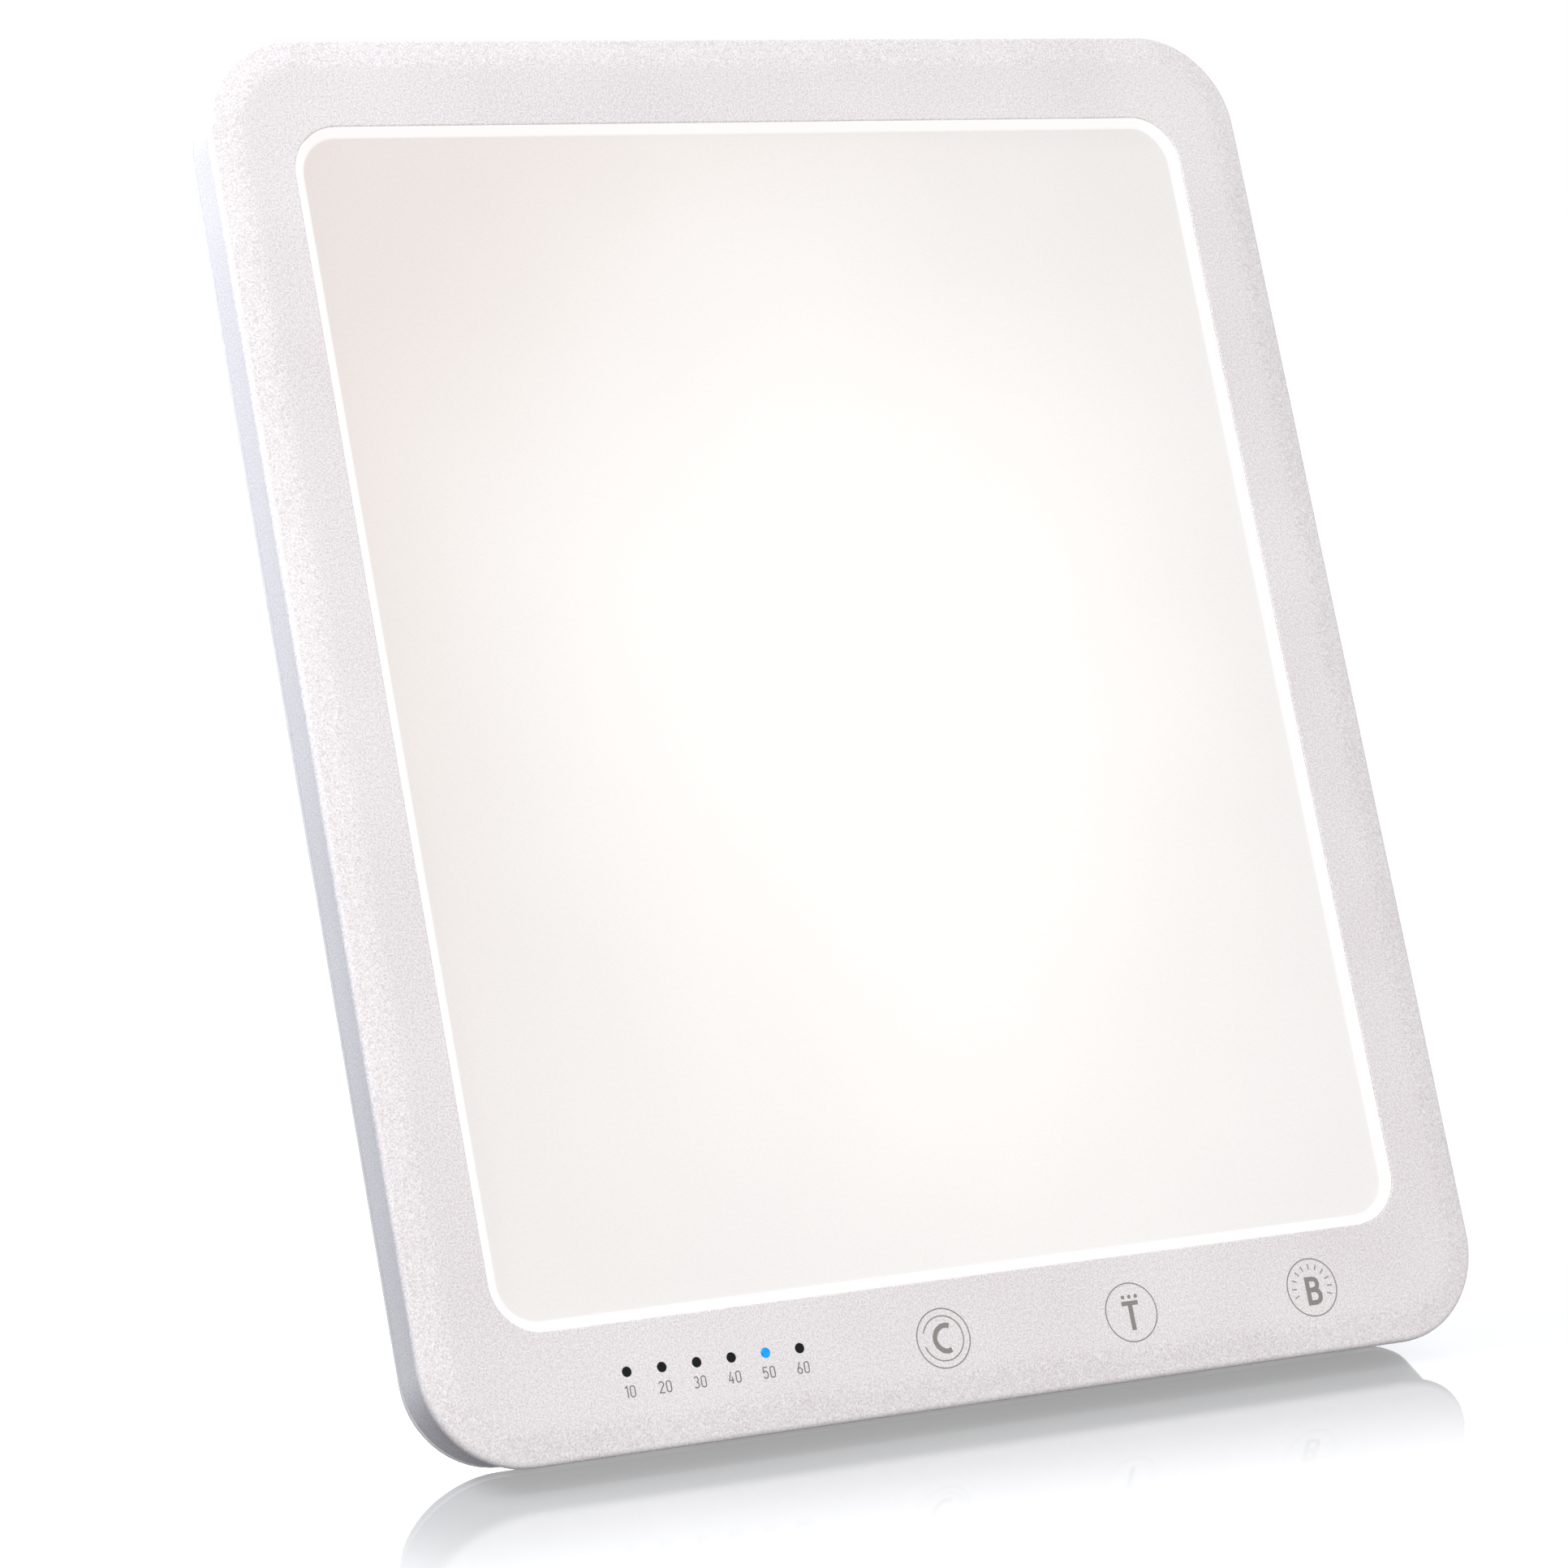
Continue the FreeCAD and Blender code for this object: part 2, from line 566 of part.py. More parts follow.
def makeFrontCover():
    cover = newBody("front_cover")
    taperedSlab(cover, "shoulder", "0", "shoulderDrop", inset("shoulderWidth"), inset("0"))
    slab(cover, "rim", "shoulderDrop", "rimDepth - rimUnderBevel", *inset("0"))
    taperedSlab(cover, "under", "rimDepth - rimUnderBevel", "rimDepth", inset("0"), inset("rimUnderBevel"))
    roundEdges(cover, "rimRound", "rimRound", onRim("shoulderDrop", "panelWidth", "panelHeight"))
    slab(cover, "side", "rimDepth", "sideBack", *inset("rimInset"))
    slab(cover, "hollow", "faceWall", "sideBack + past", *inset("sideInset"), remove=True)
    slab(cover, "window", "-past", "faceWall + past", "windowWidth", "windowHeight", "windowRadius",
         "windowRise", remove=True)
    rounds(cover, "coverBoss", "faceWall", "postSeat", coverScrewPlaces, "bossDiameter", flats=True)
    rounds(cover, "trayBoss", "faceWall", "reflectorBack", trayScrewPlaces, "smallBossDiameter", flats=True)
    rounds(cover, "boardBoss", "faceWall", "boardFront", boardScrewPlaces, "smallBossDiameter", flats=True)
    ribs = sketchAt(cover, "ribSketch", "faceWall")
    ribInner = "trayWidth / 2 + trayFit"
    ribOuter = ribInner + " + stopRibWall"
    ribLow = "windowRise - windowHeight / 2 + stopRibInset"
    ribHigh = "windowRise + windowHeight / 2 - stopRibInset"
    rectangle(ribs, ribInner, ribOuter, ribLow, ribHigh)
    rectangle(ribs, f"-({ribOuter})", f"-({ribInner})", ribLow, ribHigh)
    ribTop = "windowRise + trayTall / 2 + trayFit"
    ribHalf = "(windowWidth / 2 - stopRibInset)"
    rectangle(ribs, "-" + ribHalf, ribHalf, ribTop, ribTop + " + stopRibWall")
    pad(cover, ribs, "stopRibHeight")
    rounds(cover, "coverPilot", "postSeat - coverScrewGrip - pilotSpare", "postSeat + past", coverScrewPlaces,
           "coverScrewDiameter", remove=True, flats=True)
    rounds(cover, "trayPilot", "reflectorBack - smallScrewGrip - pilotSpare", "reflectorBack + past",
           trayScrewPlaces, "smallScrewDiameter", remove=True, flats=True)
    rounds(cover, "boardPilot", "boardFront - boardScrewGrip - pilotSpare", "boardFront + past",
           boardScrewPlaces, "smallScrewDiameter", remove=True, flats=True)
    hole = rounds(cover, "lensHole", "-past", "faceWall + past", [("firstLens", "lensLevel")],
                  "lensDiameter + 2 * lensFit", remove=True)
    repeat(cover, hole, "lensCount", "lensPitch")


# Rear cover: the back with the bay for the folded leg, screw posts and the cradles of the hinge.

def bayOutline(sketch, grow):
    """The tapered outline of the bay, moved out by an amount."""
    top = f"bayTop + {grow}"
    foot = f"bayEnd - {grow}"
    half = f"bayHalf + {grow}"
    footHalf = f"bayFootHalf + {grow}"
    polygon(sketch, [
        (f"-({half})", top), (f"-({half})", "taperStart"), (f"-({footHalf})", foot),
        (footHalf, foot), (half, "taperStart"), (half, top),
    ])


def makeRearCover():
    cover = newBody("rear_cover")
    slab(cover, "wall", "partingDepth", "panelDepth - rearRound", *inset("rimInset"))
    # The round of the edge is two facets on an eighth of a turn each.
    halfway = "rearRound * (1 - sqrt(0.5))"
    taperedSlab(cover, "edgeFirst", "panelDepth - rearRound", f"panelDepth - {halfway}", inset("rimInset"),
                inset(f"rimInset + {halfway}"))
    taperedSlab(cover, "edgeSecond", f"panelDepth - {halfway}", "panelDepth", inset(f"rimInset + {halfway}"),
                inset("rimInset + rearRound"))
    tongue = sketchAt(cover, "tongueSketch", "partingDepth - tongueLength")
    rounded(tongue, *inset("tongueInset"))
    rounded(tongue, *inset("tongueInset + tongueWall"))
    pad(cover, tongue, "tongueLength")
    ribs = sketchAt(cover, "ribSketch", "partingDepth - backRibHeight")
    for side in ("", "-"):
        x = f"{side}(panelWidth / 2 - backRibInset)"
        rectangle(ribs, x + " - backRibWall / 2", x + " + backRibWall / 2", "backRibFoot - panelHeight / 2",
                  "panelHeight / 2 - backRibTop")
    pad(cover, ribs, "backRibHeight")
    outer = sketchAt(cover, "baySketch", "bayFront")
    bayOutline(outer, "baySideWall")
    pad(cover, outer, "partingDepth - bayFront")
    scoops = mirrored([("bayFootHalf + scoopShift", "scoopLevel")])
    rounds(cover, "scoopWall", "bayFront", "partingDepth", scoops, "2 * (scoopRadius + baySideWall)")
    rounds(cover, "post", "postSeat", "partingDepth", coverScrewPlaces, "postDiameter", flats=True)
    inner = sketchAt(cover, "bayHollowSketch", "bayFloor")
    bayOutline(inner, "0")
    cut(cover, inner, "panelDepth - bayFloor + past")
    rounds(cover, "scoop", "bayFloor", "panelDepth + past", scoops, "2 * scoopRadius", remove=True)
    corners = mirrored([("bayFootHalf", "bayEnd")])
    roundEdges(cover, "bayCorner", "legCorner + bayEndGap", alongDepth(corners))
    rounds(cover, "screwHole", "postSeat - past", "panelDepth", coverScrewPlaces,
           "coverScrewDiameter + coverHoleFit", remove=True, flats=True)
    rounds(cover, "screwWell", "postSeat + coverScrewSeat", "panelDepth + past", coverScrewPlaces,
           "coverScrewHead + 2 * headClearance", remove=True)
    rounds(cover, "jackHole", "partingDepth - past", "panelDepth + past", jackPlace,
           "jackBarrel + 2 * jackHoleFit", remove=True)
    rounds(cover, "clampPilot", "partingDepth - past", "panelDepth - pilotFloor", clampScrewPlaces,
           "smallScrewDiameter", remove=True, flats=True)
    cradle = sketchAt(cover, "cradleSketch", "0", "YZ_Plane")
    circle(cradle, "hingeDepth", "hingeHeight", "pinDiameter + 2 * pinFit")
    cut(cover, cradle, "2 * pinReach", midplane=True)
    for side in ("", "-"):
        middle = f"{side}(footPlace)"
        block(cover, "footSlot" + ("Left" if side else "Right"), "footFront", "footBack",
              f"{middle} - footLength / 2", f"{middle} + footLength / 2", "-sideFoot - past",
              "-sideFoot + footSink", remove=True)


# Light: the opal diffuser, the sheets behind it, the edge lighting and the folded tray.

def makeDiffuser():
    tray = newBody("diffuser")
    rim = (shrink("windowWidth", "windowGap"), shrink("windowHeight", "windowGap"),
           "windowRadius - windowGap")
    slab(tray, "plug", "bevelStep", "faceWall", *rim, "windowRise")
    slab(tray, "flange", "faceWall", "diffuserBack", "sheetWidth", "sheetTall", "windowRadius + sheetReach",
         "windowRise")
    bevelTop = "windowGap + bevelLand"
    bevelFoot = "windowGap + bevelLand + bevelWidth"
    outlines = [(shrink("windowWidth", amount), shrink("windowHeight", amount), f"windowRadius - ({amount})")
                for amount in (bevelTop, bevelFoot)]
    taperedSlab(tray, "bevel", "bevelStep", "diffuserFront", *outlines, "windowRise", remove=True)


def makeLightSheets():
    layers = [
        ("diffuser_film", "diffuserBack", "filmBack"),
        ("light_guide", "filmBack", "guideBack"),
        ("reflector_sheet", "guideBack", "reflectorBack"),
    ]
    for label, front, back in layers:
        slab(newBody(label), "sheet", front, back, "sheetWidth", "sheetTall", "sheetCorner", "windowRise")


def makeHeatTray():
    tray = newBody("heat_tray")
    bevel = "trayFold - foldEdge"
    slab(tray, "sheet", "faceWall", f"trayBack - ({bevel})",
         "trayWidth", "trayTall", "trayFold", "windowRise")
    outlines = [("trayWidth", "trayTall", "trayFold"),
                (shrink("trayWidth", bevel), shrink("trayTall", bevel), "foldEdge")]
    taperedSlab(tray, "fold", f"trayBack - ({bevel})", "trayBack", *outlines, "windowRise")
    slab(tray, "hollow", "faceWall - past", "reflectorBack", shrink("trayWidth", "trayThickness"),
         shrink("trayTall", "trayThickness"), "trayFold - trayThickness", "windowRise", remove=True)
    tabs = sketchAt(tray, "tabSketch", "reflectorBack")
    inner = "trayWidth / 2 - trayFold"
    for level in tabLevels:
        low = f"{level} - tabLength / 2"
        high = f"{level} + tabLength / 2"
        rectangle(tabs, inner, "tabReach", low, high)
        rectangle(tabs, "-tabReach", f"-({inner})", low, high)
    pad(tray, tabs, "trayThickness")
    rounds(tray, "tabHole", "reflectorBack - past", "trayBack + past", trayScrewPlaces,
           "smallScrewDiameter + smallHoleFit", remove=True, flats=True)
    notchWidth = "(stripThickness + chipThickness + notchFit)"
    for index, x in enumerate(("stripSeat", f"-stripSeat + {notchWidth}")):
        block(tray, f"notch{index}", "faceWall - past", "reflectorBack", f"{x} - {notchWidth}", x,
              "trayFoot - past", "trayFoot + trayThickness + notchFit", remove=True)


def makeStrips():
    for label, side in (("left", "-"), ("right", "")):
        strip = newBody("led_strip_" + label)
        inner = f"{side}(stripSeat - stripThickness)"
        outer = f"{side}stripSeat"
        left, right = (outer, inner) if side else (inner, outer)
        middle = "(filmBack + guideBack) / 2"
        block(strip, "board", f"{middle} - stripHeight / 2", f"{middle} + stripHeight / 2", left, right,
              "trayFoot - stripTail", "windowRise + sheetTall / 2 - stripEndGap")
        chips = newBody("led_chips_" + label)
        face = f"{side}(stripSeat - stripThickness - chipThickness)"
        left, right = (inner, face) if side else (face, inner)
        lowest = "windowRise - (chipCount - 1) / 2 * chipPitch"
        chip = block(chips, "chip", f"{middle} - chipDeep / 2", f"{middle} + chipDeep / 2", left, right,
                     f"{lowest} - chipWidth / 2", f"{lowest} + chipWidth / 2")
        repeat(chips, chip, "chipCount", "chipPitch", upward=True)


# Screws: heads and shanks as turned pieces, with a driving recess in each head.

def makeScrews(label, places, seat, shank, head, headHeight, grip, flats=True):
    """Screws whose heads rest on a plane and whose shanks reach towards the face."""
    screws = newBody(label)
    rounds(screws, "shank", f"{seat} - ({grip})", seat, places, shank, flats=True)
    rounds(screws, "head", seat, f"{seat} + {headHeight}", places, head, flats=flats)
    drive = sketchAt(screws, "driveSketch", f"{seat} + {headHeight} / 2")
    for x, y in places:
        arm = f"{head} * 0.3"
        slot = f"{head} * 0.08"
        polygon(drive, [
            (f"{x} - {arm}", f"{y} - {slot}"), (f"{x} - {slot}", f"{y} - {slot}"),
            (f"{x} - {slot}", f"{y} - {arm}"), (f"{x} + {slot}", f"{y} - {arm}"),
            (f"{x} + {slot}", f"{y} - {slot}"), (f"{x} + {arm}", f"{y} - {slot}"),
            (f"{x} + {arm}", f"{y} + {slot}"), (f"{x} + {slot}", f"{y} + {slot}"),
            (f"{x} + {slot}", f"{y} + {arm}"), (f"{x} - {slot}", f"{y} + {arm}"),
            (f"{x} - {slot}", f"{y} + {slot}"), (f"{x} - {arm}", f"{y} + {slot}"),
        ])
    cut(screws, drive, headHeight)


def makeAllScrews():
    makeScrews("cover_screws", coverScrewPlaces, "postSeat + coverScrewSeat", "coverScrewDiameter",
               "coverScrewHead", "coverScrewHeadHeight", "coverScrewSeat + coverScrewGrip", flats=False)
    small = ("smallScrewDiameter", "smallScrewHead", "smallScrewHeadHeight")
    makeScrews("tray_screws", trayScrewPlaces, "trayBack", *small, "trayThickness + smallScrewGrip")
    makeScrews("board_screws", boardScrewPlaces, "boardBack", *small, "boardThickness + boardScrewGrip")


# Control: the board with its lights, lenses, electrodes, parts and power inlet.

def makeBoard():
    board = newBody("control_board")
    block(board, "board", "boardFront", "boardBack", "-boardLeft", "boardRight",
          "boardLevel - boardHeight / 2", "boardLevel + boardHeight / 2")
    rounds(board, "hole", "boardFront - past", "boardBack + past", boardScrewPlaces,
           "smallScrewDiameter + smallHoleFit", remove=True, flats=True)
    chips = [
        ("controller_chip", "firstKey + controllerShift", "boardLevel", "controllerSize", "controllerSize",
         "controllerTall"),
        ("led_driver_chip", "driverInset - boardLeft", "boardLevel", "driverWidth", "driverHeight",
         "driverTall"),
        ("power_inductor", "jackOffset - coilShift", "boardLevel + coilRise", "coilSize", "coilSize",
         "coilTall"),
    ]
    for label, x, y, width, height, tall in chips:
        block(newBody(label), "case", "boardBack", f"boardBack + {tall}", f"{x} - {width} / 2",
              f"{x} + {width} / 2", f"{y} - {height} / 2", f"{y} + {height} / 2")
    rounds(newBody("filter_capacitor"), "can", "boardBack", "boardBack + canTall",
           [("jackOffset - canShift", "boardLevel")], "canDiameter")
    lights = newBody("indicator_leds")
    light = block(lights, "light", "boardFront - indicatorHeight", "boardFront",
                  "firstLens - indicatorWidth / 2", "firstLens + indicatorWidth / 2",
                  "lensLevel - indicatorTall / 2", "lensLevel + indicatorTall / 2")
    repeat(lights, light, "lensCount", "lensPitch")
    for index in range(int(number("lensCount"))):
        lens = newBody(f"indicator_lens_{10 * (index + 1)}")
        place = [(f"firstLens + {index} * lensPitch", "lensLevel")]
        rounds(lens, "peg", "0", "faceWall", place, "lensDiameter")
        rounds(lens, "collar", "faceWall", "faceWall + collarThickness", place, "collarDiameter", flats=True)
    for index, use in enumerate(("colour", "timer", "brightness")):
        key = newBody("touch_pad_" + use)
        rounds(key, "pad", "faceWall", "boardFront", [(f"firstKey + {index} * keyPitch", "keyLevel")],
               "keyPadDiameter", flats=True)


def makeJack():
    jack = newBody("dc_jack")
    block(jack, "base", "boardBack", "boardBack + jackBaseHeight", "jackOffset - jackBase / 2",
          "jackOffset + jackBase / 2", "boardLevel - jackBase / 2", "boardLevel + jackBase / 2")
    mouth = "panelDepth - jackSink"
    rounds(jack, "barrel", "boardBack + jackBaseHeight", mouth, jackPlace, "jackBarrel")
    rounds(jack, "socket", f"{mouth} - jackDepth", f"{mouth} + past", jackPlace, "jackBore", remove=True)
    pin = newBody("dc_jack_pin")
    rounds(pin, "pin", f"{mouth} - jackDepth", f"{mouth} - jackPinSink", jackPlace, "jackPin")


def wireRing(centre, radius):
    """Six-sided section of a wire that starts along X."""
    corners = []
    for corner in range(6):
        angle = corner * math.pi / 3
        corners.append(centre + FreeCAD.Vector(0, radius * math.cos(angle), radius * math.sin(angle)))
    return Part.makePolygon(corners + corners[:1])


def makeWires():
    """Two wires on each side, from the tail of the strip to the back of the board."""
    radius = number("wireDiameter / 2")
    pitch = number("wireDiameter + wireGap")
    bend = number("wireBend")
    depth = number("boardBack") + radius
    top = number("trayFoot - wireDiameter")
    end = number("boardLevel + boardHeight / 2 - wireBend - wireDiameter")
    sagitta = bend * (1 - math.sqrt(0.5))
    for label, side, reach in (("left", -1, "boardLeft - wireInset"), ("right", 1, "boardRight - wireInset")):
        shapes = []
        start = side * number("stripSeat - stripThickness")
        for lane in range(2):
            turn = side * (number(reach) - lane * pitch)
            level = top - lane * pitch
            first = FreeCAD.Vector(start, depth, level)
            bendStart = FreeCAD.Vector(turn + side * bend, depth, level)
            middle = FreeCAD.Vector(turn + side * sagitta, depth, level - sagitta)
            bendEnd = FreeCAD.Vector(turn, depth, level - bend)
            last = FreeCAD.Vector(turn, depth, end - lane * pitch)
            edges = [
                Part.LineSegment(first, bendStart).toShape(),
                Part.Arc(bendStart, middle, bendEnd).toShape(),
                Part.LineSegment(bendEnd, last).toShape(),
            ]
            shapes.append(Part.Wire(edges).makePipeShell([wireRing(first, radius)], True, False))
        wires = doc.addObject("Part::Feature", "led_wires_" + label)
        wires.Label = "led_wires_" + label
        wires.Shape = Part.makeCompound(shapes)
        allBodies[wires.Label] = wires


# Stand: the ribbed leg, its rubber tip, pins, washers and clamps.

def legSection(sketch):
    """The leg from the side: face, heel with its stop ramp, round barrel, inner side and foot."""
    corners = [
        ("panelDepth", "legEndOuter"), ("panelDepth", "heelTop"), ("hingeDepth + heelThin", "heelTop"),
        ("hingeDepth - legThickness / 2 * cos(openAngle)", "hingeHeight + legThickness / 2 * sin(openAngle)"),
        ("hingeDepth - legThickness / 2", "hingeHeight"), ("hingeDepth - legThickness / 2", "legEndInner"),
    ]
    points = [FreeCAD.Vector(number(x), number(y), 0) for x, y in corners]
    barrel = 3
    for step, (start, end) in enumerate(zip(points, points[1:] + points[:1])):
        if step == barrel:
            axis = FreeCAD.Vector(number("hingeDepth"), number("hingeHeight"), 0)
            ring = Part.Circle(axis, FreeCAD.Vector(0, 0, 1), number("legThickness / 2"))
            rampAngle = math.pi - math.radians(number("openAngle"))
            sketch.addGeometry(Part.ArcOfCircle(ring, rampAngle, math.pi), False)
            at(sketch, step, 3, "hingeDepth", "hingeHeight")
        else:
            sketch.addGeometry(Part.LineSegment(start, end), False)
    for step, (x, y) in enumerate(corners):
        before = (step - 1) % len(corners)
        sketch.addConstraint(Sketcher.Constraint("Coincident", before, 2, step, 1))
        if step == barrel:
            fix(sketch, "DistanceY", -1, 1, step, 1, y)
        elif step == barrel + 1:
            fix(sketch, "DistanceX", -1, 1, step, 1, x)
            fix(sketch, "DistanceY", -1, 1, step, 1, y)
        else:
            at(sketch, step, 1, x, y)


tipKeySides = ("hingeDepth - tipKeyWall / 2", "hingeDepth + tipKeyWall / 2",
               "-tipWidth / 2 + tipKeyInset", "tipWidth / 2 - tipKeyInset")


def alongX(body, name, start, length, diameter, remove=False):
    """A round bar, or bore, on the hinge axis."""
    sketch = sketchAt(body, name + "Sketch", start, "YZ_Plane")
    circle(sketch, "hingeDepth", "hingeHeight", diameter)
    return (cut if remove else pad)(body, sketch, length)


def makeLeg():
    leg = newBody("stand_leg")
    section = sketchAt(leg, "sectionSketch", "0", "YZ_Plane")
    legSection(section)
    pad(leg, section, "legWidth", midplane=True)
    trim = sketchAt(leg, "taperSketch", "legFront - past")
    for side in ("", "-"):
        corners = [("legWidth / 2", "taperStart"), ("legWidth / 2 + past", "taperStart"),
                   ("legWidth / 2 + past", "tipOuter - past"), ("legFootWidth / 2", "tipOuter - past")]
        polygon(trim, [(f"{side}({x})", y) for x, y in corners])
    cut(leg, trim, "legThickness + 2 * past")
    feet = mirrored([("legFootWidth / 2", "(legEndInner + legEndOuter) / 2")])
    roundEdges(leg, "corner", "legCorner", alongDepth(feet))
    cells = sketchAt(leg, "cellSketch", "legFront - past")
    inner = "legRib / 2"
    outer = "(legFootWidth / 2 - cellSide)"
    rectangle(cells, inner, outer, "cellEnd", "cellEnd + cellHeight")
    rectangle(cells, "-" + outer, "-" + inner, "cellEnd", "cellEnd + cellHeight")
    hollow = cut(leg, cells, "legThickness - legSkin + past")
    repeat(leg, hollow, "legCellCount", "cellHeight + legRib", upward=True)
    for side in ("", "-"):
        start = "-legWidth / 2 - past" if side else "legWidth / 2 - pinInLeg"
        alongX(leg, "bore" + ("Left" if side else "Right"), start, "pinInLeg + past",
               "pinDiameter + 2 * pinFit", remove=True)
    block(leg, "tipSeat", "legFront - past", "panelDepth + past", "-tipWidth / 2", "tipWidth / 2",
          "tipOuter - past", "tipInner + tipHeight", remove=True)
    block(leg, "tipKey", *tipKeySides, "tipInner + tipHeight - past", "tipInner + tipHeight + tongueOfTip",
          remove=True)


def makeTip():
    tip = newBody("stand_foot")
    section = sketchAt(tip, "sectionSketch", "0", "YZ_Plane")
    polygon(section, [("legFront", "tipInner"), ("panelDepth", "tipOuter"),
                      ("panelDepth", "tipInner + tipHeight"), ("legFront", "tipInner + tipHeight")])
    pad(tip, section, "tipWidth", midplane=True)
    block(tip, "key", *tipKeySides, "tipInner + tipHeight", "tipInner + tipHeight + tongueOfTip")


def makeHinge():
    for label, side in (("left", "-"), ("right", "")):
        pinLength = "(pinReach - pinEndGap - legWidth / 2 + pinInLeg)"
        start = "legWidth / 2 - pinInLeg"
        pinStart = f"-({start}) - {pinLength}" if side else start
        alongX(newBody("hinge_pin_" + label), "pin", pinStart, pinLength, "pinDiameter")
        washer = newBody("friction_washer_" + label)
        gap = "(legSideGap - washerThickness) / 2"
        washerStart = f"-legWidth / 2 - washerThickness - {gap}" if side else f"legWidth / 2 + {gap}"
        alongX(washer, "disc", washerStart, "washerThickness", "washerDiameter")
        alongX(washer, "hole", washerStart, "washerThickness", "pinDiameter + 2 * pinFit", remove=True)
        clamp = newBody("hinge_clamp_" + label)
        left, right = (f"-({clampOuter})", f"-({clampInner})") if side else (clampInner, clampOuter)
        block(clamp, "plate", "partingDepth - clampThickness", "partingDepth", left, right,
              "hingeHeight - clampHeight / 2", "hingeHeight + clampHeight / 2")
        alongX(clamp, "groove", f"{left} - past", "clampWidth + 2 * past", "pinDiameter", remove=True)
        spots = [(x, y) for x, y in clampScrewPlaces if x.startswith("-") == bool(side)]
        rounds(clamp, "hole", "partingDepth - clampThickness - past", "partingDepth + past", spots,
               "smallScrewDiameter + smallHoleFit", remove=True, flats=True)
    makeClampScrews()


def makeClampScrews():
    screws = newBody("clamp_screws")
    seat = "partingDepth - clampThickness"
    rounds(screws, "shank", seat, "partingDepth + clampScrewGrip", clampScrewPlaces, "smallScrewDiameter",
           flats=True)
    rounds(screws, "head", f"{seat} - smallScrewHeadHeight", seat, clampScrewPlaces, "smallScrewHead",
           flats=True)


# Feet: rubber strips let into the lower rear edge, cut level with the surface they stand on.

def makeFeet():
    for label, side in (("left", "-"), ("right", "")):
        foot = newBody("foot_" + label)
        section = sketchAt(foot, "sectionSketch", f"{side}(footPlace)", "YZ_Plane")
        ground = "(sin(leanAngle) * ({depth}) - floorDrop) / cos(leanAngle)"
        top = "-sideFoot + footSink"
        polygon(section, [("footFront", ground.format(depth="footFront")),
                          ("footBack", ground.format(depth="footBack")),
                           ("footBack", top), ("footFront", top)])
        pad(foot, section, "footLength", midplane=True)


# The panel is leaned back and set down, and the leg is swung open from the bay.

def placeAll():
    lean = FreeCAD.Rotation(FreeCAD.Vector(1, 0, 0), -number("leanAngle"))
    panel = FreeCAD.Placement(FreeCAD.Vector(0, 0, number("floorDrop")), lean)
    axis = FreeCAD.Vector(0, number("hingeDepth"), number("hingeHeight"))
    swing = FreeCAD.Rotation(FreeCAD.Vector(1, 0, 0), number("openAngle"))
    opened = FreeCAD.Placement(FreeCAD.Vector(0, 0, 0), swing, axis)
    moving = ("stand_leg", "stand_foot")
    covers = ("front_cover", "rear_cover")
    for label, body in allBodies.items():
        body.Placement = panel * opened if label in moving else panel
    doc.recompute()
    boxes = [allBodies[label].Shape.optimalBoundingBox(False, False) for label in covers + moving]
    middle = (min(box.YMin for box in boxes) + max(box.YMax for box in boxes)) / 2
    for body in allBodies.values():
        body.Placement = FreeCAD.Placement(FreeCAD.Vector(0, -middle, 0), FreeCAD.Rotation()) * body.Placement
    doc.recompute()
    return panel.multVec(axis) - FreeCAD.Vector(0, middle, 0)


def checkAll():
    for item in doc.Objects:
        if "Invalid" in item.State or "Error" in item.State:
            raise ValueError(item.Name + " did not build")
    for label, body in allBodies.items():
        if body.Shape.isNull() or not body.Shape.isValid():
            raise ValueError(label + " has no valid solid")


makeFrontCover()
makeRearCover()
makeDiffuser()
makeLightSheets()
makeHeatTray()
makeStrips()
makeAllScrews()
makeBoard()
makeJack()
makeWires()
makeLeg()
makeTip()
makeHinge()
makeFeet()
hinge = placeAll()
checkAll()
print("hinge axis at", round(hinge.y, 3), round(hinge.z, 3))

os.makedirs("parts", exist_ok=True)
for label, body in allBodies.items():
    body.Shape.exportStep(f"parts/{label}.step")
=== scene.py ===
import bpy
import bmesh
import json
import math
from mathutils import Matrix, Vector


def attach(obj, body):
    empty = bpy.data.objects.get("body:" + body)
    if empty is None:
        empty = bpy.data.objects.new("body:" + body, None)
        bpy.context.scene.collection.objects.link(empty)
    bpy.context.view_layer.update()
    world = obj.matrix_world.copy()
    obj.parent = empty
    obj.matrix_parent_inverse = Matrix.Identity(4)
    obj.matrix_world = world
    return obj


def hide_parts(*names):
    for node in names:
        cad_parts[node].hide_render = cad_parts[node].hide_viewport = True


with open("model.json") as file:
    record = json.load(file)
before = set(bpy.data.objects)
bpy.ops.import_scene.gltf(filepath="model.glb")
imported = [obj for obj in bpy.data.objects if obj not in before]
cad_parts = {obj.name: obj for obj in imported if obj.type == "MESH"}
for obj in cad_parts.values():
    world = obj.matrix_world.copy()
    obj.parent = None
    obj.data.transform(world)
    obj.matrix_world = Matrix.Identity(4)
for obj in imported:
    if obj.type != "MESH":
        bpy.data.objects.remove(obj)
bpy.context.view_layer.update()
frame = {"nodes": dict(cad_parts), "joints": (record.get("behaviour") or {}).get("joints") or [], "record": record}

mm = 0.001
print("frame loaded")

# The panel is drawn upright, x to the right, y from the face to the back and z up the face,
# in mm from the middle of the face, and then leaned back about the hinge of the stand.
panel = {"lean": 22.5, "width": 198.4, "height": 238, "corner": 17,
         "windowWidth": 171, "windowHeight": 201.5, "windowRadius": 8.5, "windowRise": 2.45,
         "hingeDepth": 13, "hingeHeight": 4}

